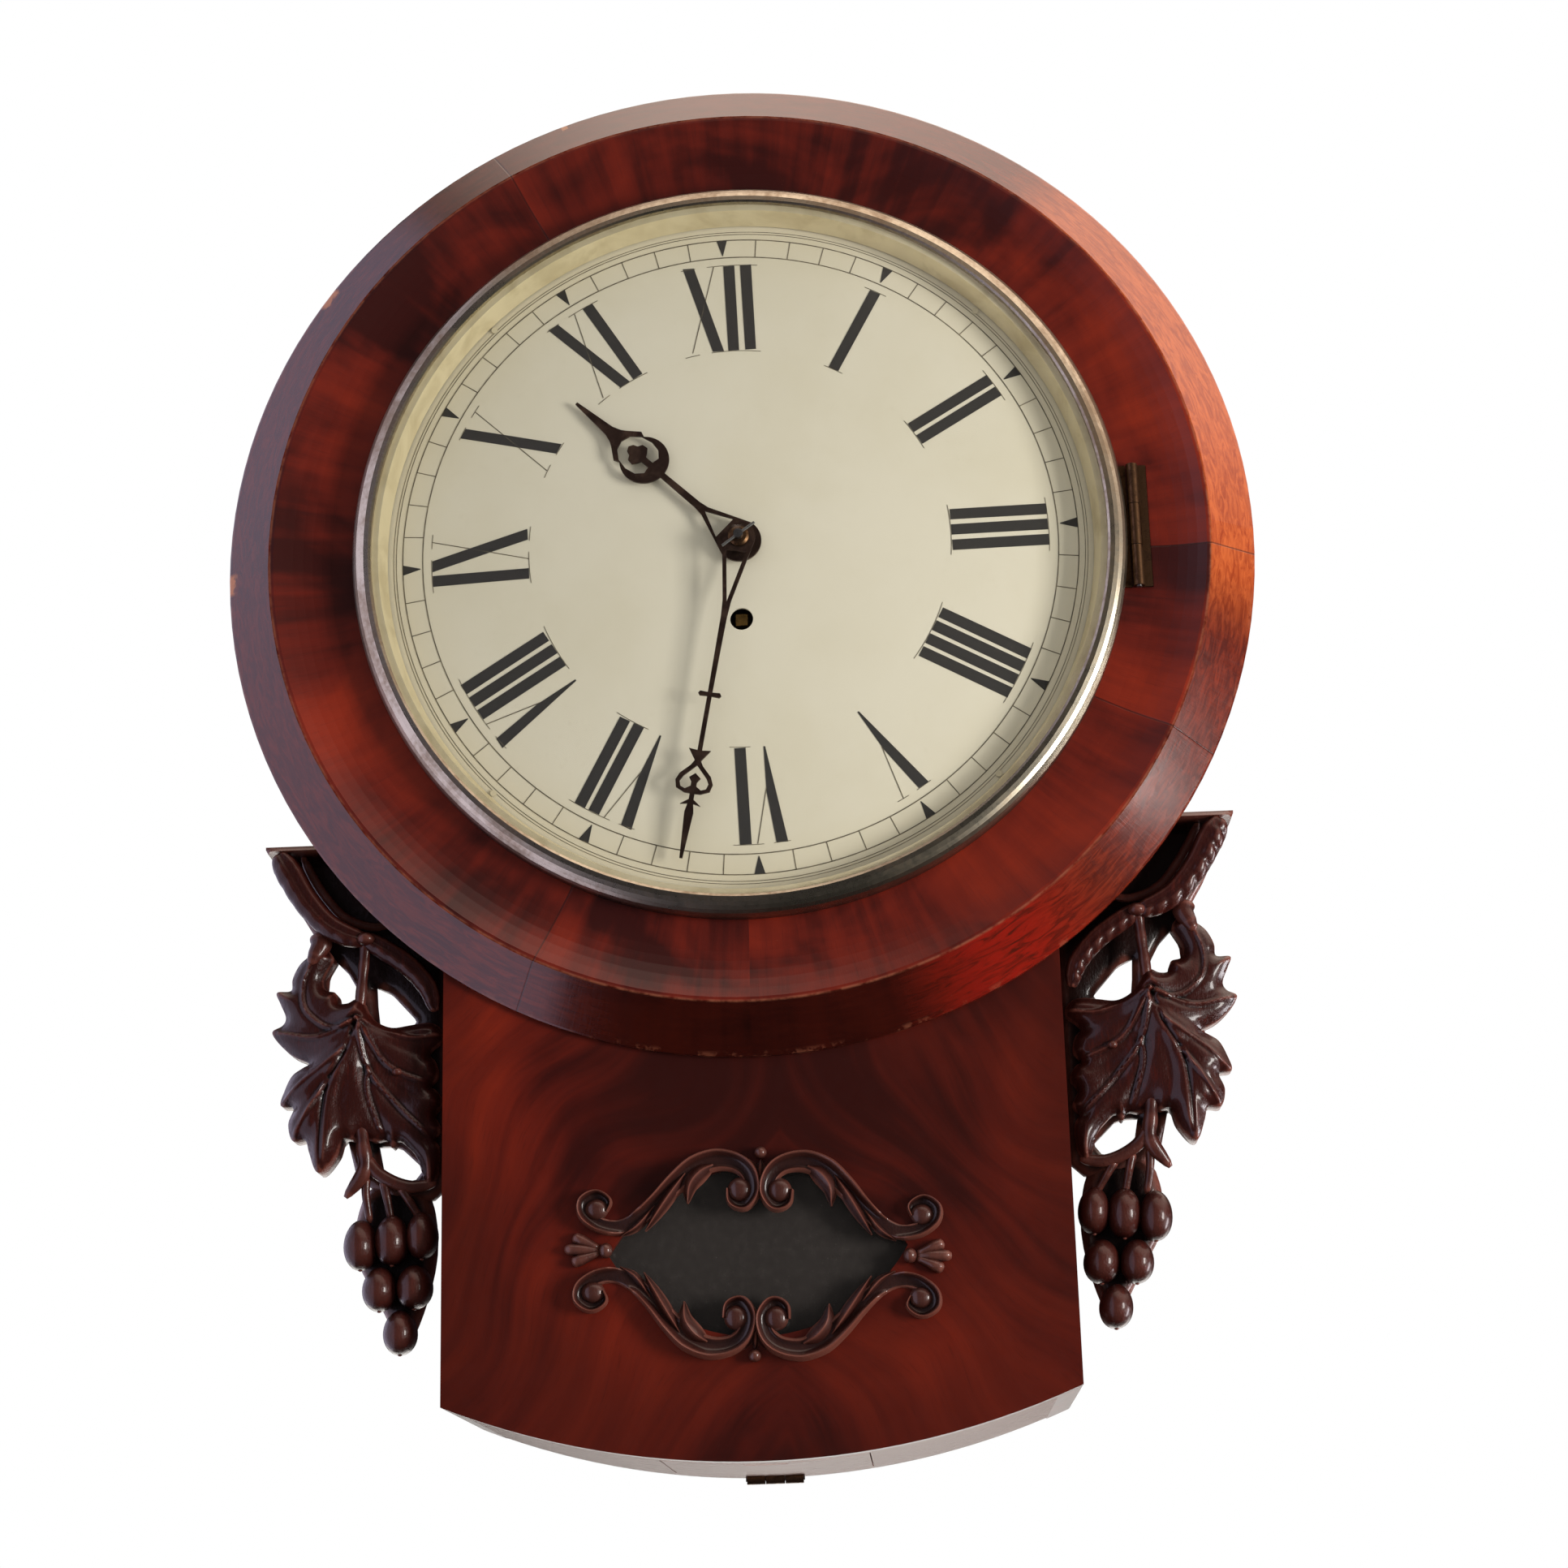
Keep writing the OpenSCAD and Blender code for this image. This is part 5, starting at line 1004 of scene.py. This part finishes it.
def carve_frame():
    """The whole frame: four scrolls with small leaves, a palmette with a bead at each end, and
    above and below a bead over three leaves. It leans 3 degrees and is a little flattened."""
    sizes = bpy.context.scene.clock_carving
    quarter = Shape()
    line = trace(SCROLL, 7)
    t = np.linspace(0, 1, len(line))
    high = np.interp(t, [0, 0.15, 0.4, 0.65, 0.85, 1], [0.55, 0.85, 1, 0.8, 0.8, 0.5])
    quarter.sweep(line, spread(SCROLL_WIDTH, len(line)), sizes.scroll * high,
                  scroll_section(-np.tanh((t - 0.62) / 0.05)))
    quarter.bead((8.0, 0.8, 26.2), (4.9, 3.4, 5.2))
    quarter.bead((65.4, 0.8, 17.0), (4.8, 3.4, 4.6))
    leaflet(quarter, [(19.1, 36.4), (24.4, 33.0), (28.2, 27.4), (28.9, 20.0)], 3.9, 5.6)
    leaflet(quarter, [(30.2, 32.6), (35.4, 24.6), (40.6, 16.2), (45.4, 8.4)], 2.7, 5.6)
    leaflet(quarter, [(42, 19), (48.5, 10.6), (55, 6.2)], 1.8, 4.2)
    shape = Shape()
    for i in (1, -1):
        for j in (1, -1):
            for part in quarter.points:
                shape.points.append(part * [i, 1, j])
            shape.faces += (np.array([f if len(f) == 4 else f + f[:1] for f in quarter.faces])
                            + shape.count).tolist()
            shape.count += quarter.count
    for i in (1, -1):
        for end in ((77.4, 0.4), (74.2, 5.6), (74.2, -5.2)):
            twig(shape, [(i * 63.5, end[1] * 0.15), (i * 69, end[1] * 0.6), (i * end[0], end[1])],
                 [1.2, 1.6, 1.2], [1.3, 1.9, 2.5, 2.3], 0.5, tall=1.3)
        shape.bead((i * 60.8, 2.2, 0), (2.7, 3.4, 3.2))
        shape.bead((0, 2.0, i * 41.6), (2.5, 3.0, 2.6))
        for bow in (-1, 0, 1):
            leaflet(shape, [(0, i * 30), (bow * 2.4, i * 35), (bow * 4.6, i * 39)], 1.9, 3.8)
    lean = math.radians(3.0)
    turn = np.array([[math.cos(lean), 0, -math.sin(lean)], [0, 1, 0],
                     [math.sin(lean), 0, math.cos(lean)]])
    shape.points = [(p * [1, 1, 0.965]) @ turn + [0, CASE_DEPTH + 0.01, -WINDOW_DROP - 1.5]
                    for p in shape.points]
    shape.piece("window_scrolls", scroll_wood(), "case", ["lenticle_frame"], "carved mahogany", 60)


# Printed dial. Each hour has its letters and how far they stand to the side of its line.
NUMERALS = [("I", [0]), ("II", [-3.3, 3.3]), ("III", [-7, 0, 7]), ("IIII", [-9.6, -3.2, 3.2, 9.6]),
            ("V", [0]), ("VI", [-5.1, 5.1]), ("VII", [-8.4, 1.8, 8.4]),
            ("VIII", [-11.8, -1.6, 5.1, 11.8]), ("IX", [-6.15, 6.15]), ("X", [0]),
            ("XI", [-6.15, 6.15]), ("XII", [-9.85, 2.45, 9.85])]
# Short lines at the letters' feet and heads, from and to, each with its kind of letter
FOOT_LINES = [("I", (-4.4, 4.4)), ("X", (-9.0, -2.6)), ("X", (2.6, 9.0))]
HEAD_LINES = [("I", (-5.2, 5.2)), *FOOT_LINES[1:], ("V", (-8.6, -1.5)), ("V", (2.6, 8))]


def letter(kind, u, sizes):
    """Outlines of one letter: (sideways, radius) corners; feet lie towards the dial's centre."""
    low, high, w, h = sizes.inner, sizes.outer, sizes.stroke / 2, sizes.hairline / 2
    mid = (low + high) / 2
    if kind == "I":
        return [[(u - w + 0.1, low), (u + w - 0.1, low), (u + w, high), (u - w, high)]]
    if kind == "V":
        return [[(u - 0.35, low), (u + 0.35, low), (u + 0.25, mid - 1), (u - 5 + w, high),
                 (u - 5 - w, high)],
                [(u + 0.2 - h, mid - 3), (u + 0.2 + h, mid - 3), (u + 5.2 + h, high),
                 (u + 5.2 - h, high)]]
    return [[(u + 5.6 - w, low), (u + 5.6 + w, low), (u - 5.6 + w, high), (u - 5.6 - w, high)],
            [(u - 5.6 - h, low), (u - 5.6 + h, low), (u + 5.6 + h, high), (u + 5.6 - h, high)]]


def arc_band(radius, wide, start, end):
    """A thin curved bar between two angles."""
    a = np.linspace(start, end, 12)
    ray = np.column_stack([np.sin(a), np.cos(a)])
    return np.concatenate([ray * (radius - wide / 2), ray[::-1] * (radius + wide / 2)])


def stamp(shape, outline):
    """Prints an outline of x and height on the dome."""
    level = dome(np.hypot(outline[:, 0], outline[:, 1]))
    shape.prism(outline, level - INK_SUNK, level + INK_PROUD)


def stamp_turned(shape, corners, angle, cuts=6):
    """Prints corners of (sideways, radius), turned clockwise by an angle, with more points on
    each side so that it follows the dome."""
    o = np.asarray(corners, float)
    t = np.linspace(0, 1, cuts, endpoint=False)[None, :, None]
    o = (o[:, None] * (1 - t) + np.roll(o, -1, 0)[:, None] * t).reshape(-1, 2)
    s, c = math.sin(angle), math.cos(angle)
    stamp(shape, np.column_stack([o[:, 1] * s + o[:, 0] * c, o[:, 1] * c - o[:, 0] * s]))


def print_dial():
    """Thick strokes in black, and rings, ticks and hairlines in a thinner ink, just above the
    dome."""
    sizes = bpy.context.scene.clock_print
    thick, thin = Shape(), Shape()
    for hour, (kinds, places) in enumerate(NUMERALS, 1):
        angle = math.radians(hour * 30) - sizes.turn
        for kind, u in zip(kinds, places):
            for k, outline in enumerate(letter(kind, u, sizes)):
                stamp_turned(thin if k else thick, outline, angle)
        for radius, lines in ((sizes.inner - 0.2, FOOT_LINES), (sizes.outer + 0.3, HEAD_LINES)):
            for kind, (a, b) in lines:
                for u in (place for held, place in zip(kinds, places) if held == kind):
                    stamp(thin, arc_band(radius, 0.22, angle + (u + a) / radius,
                                         angle + (u + b) / radius))
        stamp_turned(thick, [(-2.3, RING_OUTER), (2.3, RING_OUTER), (0.15, RING_INNER + 1),
                             (-0.15, RING_INNER + 1)], angle)
    for minute in range(60):
        if minute % 5:
            stamp_turned(thin, [(-0.17, RING_INNER), (0.17, RING_INNER), (0.17, RING_OUTER),
                                (-0.17, RING_OUTER)], math.radians(minute * 6) - sizes.turn)
    for radius, wide in ((RING_OUTER, 0.42), (RING_INNER, 0.42), (147.6, 0.24), (148.7, 0.2)):
        low, high = radius - wide / 2, radius + wide / 2
        thin.lathe([(low, dome(low) - INK_SUNK), (low, dome(low) + INK_PROUD),
                    (high, dome(high) + INK_PROUD), (high, dome(high) - INK_SUNK)], 360)
    thick.piece("dial_numerals", print_ink(), "case", (), "dial paint")
    thin.piece("dial_rings", faint_ink(), "case", (), "dial paint")


# Studio
def set_camera():
    """Camera from its turn, lift, roll and distance about a point low on the dial."""
    studio = bpy.context.scene.clock_studio
    az, el, ro = studio.azimuth, studio.elevation, studio.roll
    back = Vector((math.sin(az) * math.cos(el), -math.cos(az) * math.cos(el), math.sin(el)))
    spot = Vector(to_world(TURN_PLACE)) + back * studio.reach
    right = (-back).cross(Vector((0, 0, 1))).normalized()
    up = right.cross(-back)
    r2 = right * math.cos(ro) + up * math.sin(ro)
    u2 = up * math.cos(ro) - right * math.sin(ro)
    data = bpy.data.cameras.new("camera")
    data.sensor_width = 36
    data.lens = studio.lens
    data.shift_x = (PICTURE / 2 - SQUARE_ON[0]) / PICTURE
    data.shift_y = (SQUARE_ON[1] - PICTURE / 2) / PICTURE
    camera = bpy.data.objects.new("camera", data)
    turn = Matrix((r2, u2, back)).transposed().to_4x4()
    camera.matrix_world = Matrix.Translation(spot) @ turn
    bpy.context.scene.collection.objects.link(camera)
    bpy.context.scene.camera = camera


def set_world():
    """Even fill for surfaces, and white for the camera, also through glass. For gloss a room that
    is dark in front, lighter at the left, above and behind, with a bright window at the right."""
    studio = bpy.context.scene.clock_studio
    world = bpy.data.worlds.new("studio")
    bpy.context.scene.world = world
    world.use_nodes = True
    f = Finish("studio", world.node_tree)
    straight, through, gloss = (f.wire("ShaderNodeLightPath", output=f"Is {ray} Ray")
                                for ray in ("Camera", "Transmission", "Glossy"))
    seen = straight.maths("MAXIMUM", straight, through)
    x, y, z = f.split(f.wire("ShaderNodeTexCoord", output="Generated"))
    left = (0 - x).band(0.46, 0.54) * (1 - z.band(0.35, 0.9) * 0.45)
    above = (z * 0.93 + x * 0.36).band(0.55, 0.9)
    behind = y.band(0.6, 0.85) * (0 - z).band(0.1, 0.25)
    right = x.band(0.78, 0.86) * z.band(-0.6, -0.42) * (0 - z).band(0.0, 0.14)
    right = right * y.band(0.1, 0.18) * y.band(0.36, 0.3)
    level = f.mix(gloss, (studio.fill,) * 3, (0.015, 0.014, 0.014))
    for share, glow in ((left, (1.3, 1.2, 1.6)), (above, (2.5, 2.0, 1.7)),
                        (behind, (4.0, 3.8, 3.6)), (right, (26, 25, 26))):
        level = f.mix(share * gloss, level, glow)
    level = f.mix(seen, level, (1, 1, 1))
    shade = f.wire("ShaderNodeBackground", None, {"Color": level, "Strength": 1.0})
    f.node("ShaderNodeOutputWorld", None, {0: shade})


def set_lamp():
    """One large soft lamp to the right of the clock, a little in front of it."""
    studio = bpy.context.scene.clock_studio
    data = bpy.data.lights.new("soft_lamp", "AREA")
    data.shape = "RECTANGLE"
    data.size = 0.36
    data.size_y = 0.6
    data.energy = studio.lamp
    data.color = (1.0, 0.97, 0.93)
    lamp = bpy.data.objects.new("soft_lamp", data)
    way = Vector(LAMP_WAY).normalized()
    lamp.location = Vector(to_world(LAMP_PLACE)) + way * LAMP_REACH
    lamp.rotation_mode = "QUATERNION"
    lamp.rotation_quaternion = way.to_track_quat("Z", "Y")
    bpy.context.scene.collection.objects.link(lamp)


def set_floor():
    """A pale floor well below the clock, with a faint unevenness; a disc drawn as rings."""
    rings = np.linspace(0, FLOOR_R, 9)[:, None]
    a = np.linspace(0, 2 * np.pi, 64, endpoint=False)[None, :]
    shape = Shape()
    shape.grid(np.stack([rings * np.cos(a), rings * np.sin(a), 0 * rings * a + FLOOR_HEIGHT], -1))
    mesh = shape.mesh("floor")
    f = Finish("pale_floor")
    f.base = f.mix(f.noise(0.003, 3, 0.5), tint(222, 221, 218), tint(230, 229, 226))
    mesh.materials.append(f.done(f.surface(0.85)))
    floor = bpy.data.objects.new("floor", mesh)
    floor.visible_glossy = False
    bpy.context.scene.collection.objects.link(floor)


# Operators
class ClockStep:
    bl_options = {"REGISTER"}

    def execute(self, context):
        self.make()
        return {"FINISHED"}


class CLOCK_OT_studio(ClockStep, bpy.types.Operator):
    """Camera, lamp, world and floor"""
    bl_idname = "clock.studio"
    bl_label = "Studio"

    def make(self):
        set_camera()
        set_world()
        set_lamp()
        set_floor()


class CLOCK_OT_case(ClockStep, bpy.types.Operator):
    """Veneered surround, trunk and sides, and the plain wood behind"""
    bl_idname = "clock.case"
    bl_label = "Case"

    def make(self):
        dress(veneer_round, "dial_surround")
        dress(veneer_flat, "trunk_front", "side_left", "side_right", "side_door")
        dress(pine, "backboard", "box_top", "surround_battens", "case_pegs")
        dress(foot_wood, "bottom_board", "bottom_door")
        dress(aged_brass, "fixed_leaves", "side_door_leaves", "bottom_door_leaf",
              "bezel_hinge_leaf", "side_door_knob", "hanging_plate")
        dress(polished_steel, "hinge_pins")
        dress(screw_brass, "screws")


class CLOCK_OT_ears(ClockStep, bpy.types.Operator):
    """Carved ears at both sides"""
    bl_idname = "clock.ears"
    bl_label = "Carved ears"

    def make(self):
        carve_ear(-1)
        carve_ear(1)


class CLOCK_OT_window(ClockStep, bpy.types.Operator):
    """Scroll frame and window glass"""
    bl_idname = "clock.window"
    bl_label = "Window"

    def make(self):
        carve_frame()
        dress(window_glass, "lenticle_glass")


class CLOCK_OT_dial(ClockStep, bpy.types.Operator):
    """Painted dial with numerals and minute ring"""
    bl_idname = "clock.dial"
    bl_label = "Dial"

    def make(self):
        dress(dial_paint, "dial")
        print_dial()


class CLOCK_OT_bezel(ClockStep, bpy.types.Operator):
    """Bezel, domed glass and sight ring"""
    bl_idname = "clock.bezel"
    bl_label = "Bezel"

    def make(self):
        dress(bezel_metal, "bezel")
        dress(gilt_metal, "sight_ring")
        dress(clear_glass, "bezel_glass")


class CLOCK_OT_hands(ClockStep, bpy.types.Operator):
    """Hands, collet and pin"""
    bl_idname = "clock.hands"
    bl_label = "Hands"

    def make(self):
        dress(browned_steel, "hour_hand", "minute_hand")
        dress(aged_brass, "hand_collet")
        dress(polished_steel, "hand_pin")


class CLOCK_OT_movement(ClockStep, bpy.types.Operator):
    """Plates, train, spring, line and pendulum"""
    bl_idname = "clock.movement"
    bl_label = "Movement"

    def make(self):
        dress(plain_brass, "front_plate", "back_plate", "pillars", "barrel", "barrel_cap",
              "great_wheel", "centre_wheel", "third_wheel", "escape_wheel", "back_cock",
              "cannon_pinion", "minute_wheel", "hour_wheel", "pendulum_bob", "rating_nut", "fusee")
        dress(polished_steel, "posts", "taper_pins", "barrel_arbor", "centre_arbor", "third_arbor",
              "escape_arbor", "pallets", "crutch", "pendulum_rod")
        dress(spring_steel, "mainspring", "suspension_spring")
        dress(gut_line, "fusee_line")


class CLOCK_PT_panel(bpy.types.Panel):
    bl_idname = "CLOCK_PT_panel"
    bl_label = "Drop dial wall clock"
    bl_space_type = "VIEW_3D"
    bl_region_type = "UI"
    bl_category = "Clock"

    def draw(self, context):
        for step in STEPS:
            self.layout.operator(step.bl_idname)
        for group in ("clock_carving", "clock_print", "clock_finish", "clock_studio"):
            held = getattr(context.scene, group)
            box = self.layout.box()
            for key in held.__annotations__:
                box.prop(held, key)


STEPS = (CLOCK_OT_studio, CLOCK_OT_case, CLOCK_OT_ears, CLOCK_OT_window, CLOCK_OT_dial,
         CLOCK_OT_bezel, CLOCK_OT_hands, CLOCK_OT_movement)
GROUPS = {"clock_carving": ClockCarving, "clock_print": ClockPrint, "clock_finish": ClockFinish,
          "clock_studio": ClockStudio}


def register():
    for kind in (*GROUPS.values(), *STEPS, CLOCK_PT_panel):
        bpy.utils.register_class(kind)
    for name, kind in GROUPS.items():
        setattr(bpy.types.Scene, name, PointerProperty(type=kind))


def unregister():
    for name in GROUPS:
        delattr(bpy.types.Scene, name)
    for kind in reversed((*GROUPS.values(), *STEPS, CLOCK_PT_panel)):
        bpy.utils.unregister_class(kind)


def main():
    register()
    scene = bpy.context.scene
    scene.view_settings.view_transform = "Standard"
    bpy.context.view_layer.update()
    bpy.ops.clock.studio()
    bpy.ops.clock.case()
    bpy.ops.clock.ears()
    bpy.ops.clock.window()
    bpy.ops.clock.dial()
    bpy.ops.clock.bezel()
    bpy.ops.clock.hands()
    bpy.ops.clock.movement()


if __name__ == "__main__":
    main()
